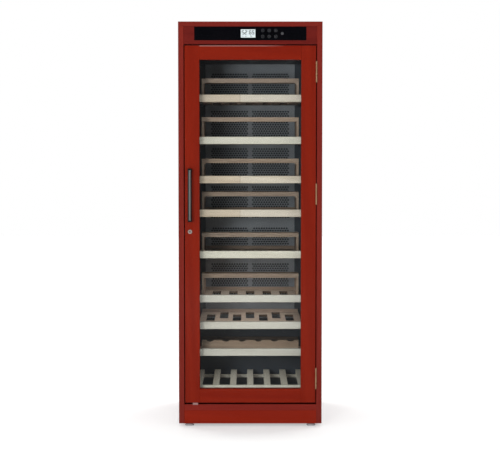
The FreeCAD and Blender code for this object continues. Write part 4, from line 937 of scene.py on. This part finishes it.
folded_seal = make_piece("folded_door_seal", *carried_round(seal_profile, seal_low, seal_high), seal_black,
                         "door", "seal")
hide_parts("door_gasket")

# %% [markdown]
# ## Turned feet and cover screws
# A foot is turned metal: a flat sole with a small chamfer, a rim, and a low dome up to its stem. A screw
# head is turned too, with a socket in its middle. Both are a profile of radius and height spun round an
# axis. The two ends of the profile lie on the axis, so each closes in a pole.

# %% The function for turned pieces
UPRIGHT = ((1, 0, 0), (0, 1, 0), (0, 0, 1))
REARWARD = ((-1, 0, 0), (0, 0, 1), (0, 1, 0))


def spun(profile, centre, axes, sides):
    """A profile of radius and height spun round an axis. The axes give the two directions of the circle
    and the direction of the height, and the profile's ends become single points on the axis."""
    turn = full_turn(sides)
    body = profile[1:-1]
    first, second, upward = np.array(axes, float)
    circle = np.cos(turn)[:, None] * first + np.sin(turn)[:, None] * second
    rings = (body[:, None, :1] * circle[None] + body[:, None, 1:] * upward).reshape(-1, 3)
    poles = profile[[0, -1], 1:] * upward
    points = np.concatenate([rings, poles]) + np.array(centre)
    step = np.arange(sides)
    after = np.roll(step, -1)
    last = (len(body) - 1) * sides
    sole = np.stack([np.full(sides, len(rings)), after, step], axis=-1)
    cap = np.stack([np.full(sides, len(rings) + 1), last + step, last + after], axis=-1)
    return points, [bridged(len(body), sides), sole, cap]


# %% Spin the feet
FOOT_SIDES, DOME_STEPS = 48, 9
FOOT_RADIUS, STEM_RADIUS, DOME_FOOT, DOME_RISE = 0.0205, 0.0050, 0.0040, 0.0095
SOLE = [[0.0, 0.0], [0.0188, 0.0], [0.0200, 0.0008], [FOOT_RADIUS, 0.0018]]
STEM = [[STEM_RADIUS, 0.0310], [0.0042, 0.0320], [0.0, 0.0320]]
dome_turn = np.linspace(0.0, 1.0, DOME_STEPS)
dome = np.stack([FOOT_RADIUS - (FOOT_RADIUS - STEM_RADIUS) * dome_turn,
                 DOME_FOOT + DOME_RISE * np.sin(dome_turn * np.pi / 2)], axis=1)
foot_profile = np.concatenate([SOLE, dome, STEM])
for corner in FOOT_CORNERS:
    foot_low, foot_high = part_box(f"foot_{corner}")
    middle = (foot_low + foot_high) / 2
    foot = spun(foot_profile, (middle.x, middle.y, foot_low.z), UPRIGHT, FOOT_SIDES)
    turned = make_piece(f"turned_foot_{corner}", *foot, bright_chrome, f"foot_{corner}", "chrome",
                        smooth=True)
    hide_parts(f"foot_{corner}")

# %% Spin the screws
SCREW_SIDES, SCREW_ROWS, SCREW_ASIDE, SCREW_FOOT = 12, 7, 0.014, 0.03
SCREW_PROFILE = np.array([[0.0, -0.0004], [0.0042, -0.0004], [0.0042, 0.0000], [0.0040, 0.0008],
                          [0.0030, 0.0018], [0.0015, 0.0020], [0.0012, 0.0006], [0.0, 0.0006]])
cover_low, cover_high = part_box("back_cover")
screw_x = np.array([cover_low.x + SCREW_ASIDE, cover_high.x - SCREW_ASIDE])
screw_z = np.linspace(cover_low.z + SCREW_FOOT, cover_high.z - SCREW_FOOT, SCREW_ROWS)
screw_places = np.stack(np.meshgrid(screw_x, screw_z), axis=-1).reshape(-1, 2)
screws = joined(*[spun(SCREW_PROFILE, (x, cover_high.y, z), REARWARD, SCREW_SIDES) for x, z in screw_places])
make_piece("rear_cover_screws", *screws, plain_steel, "cabinet", "steel")
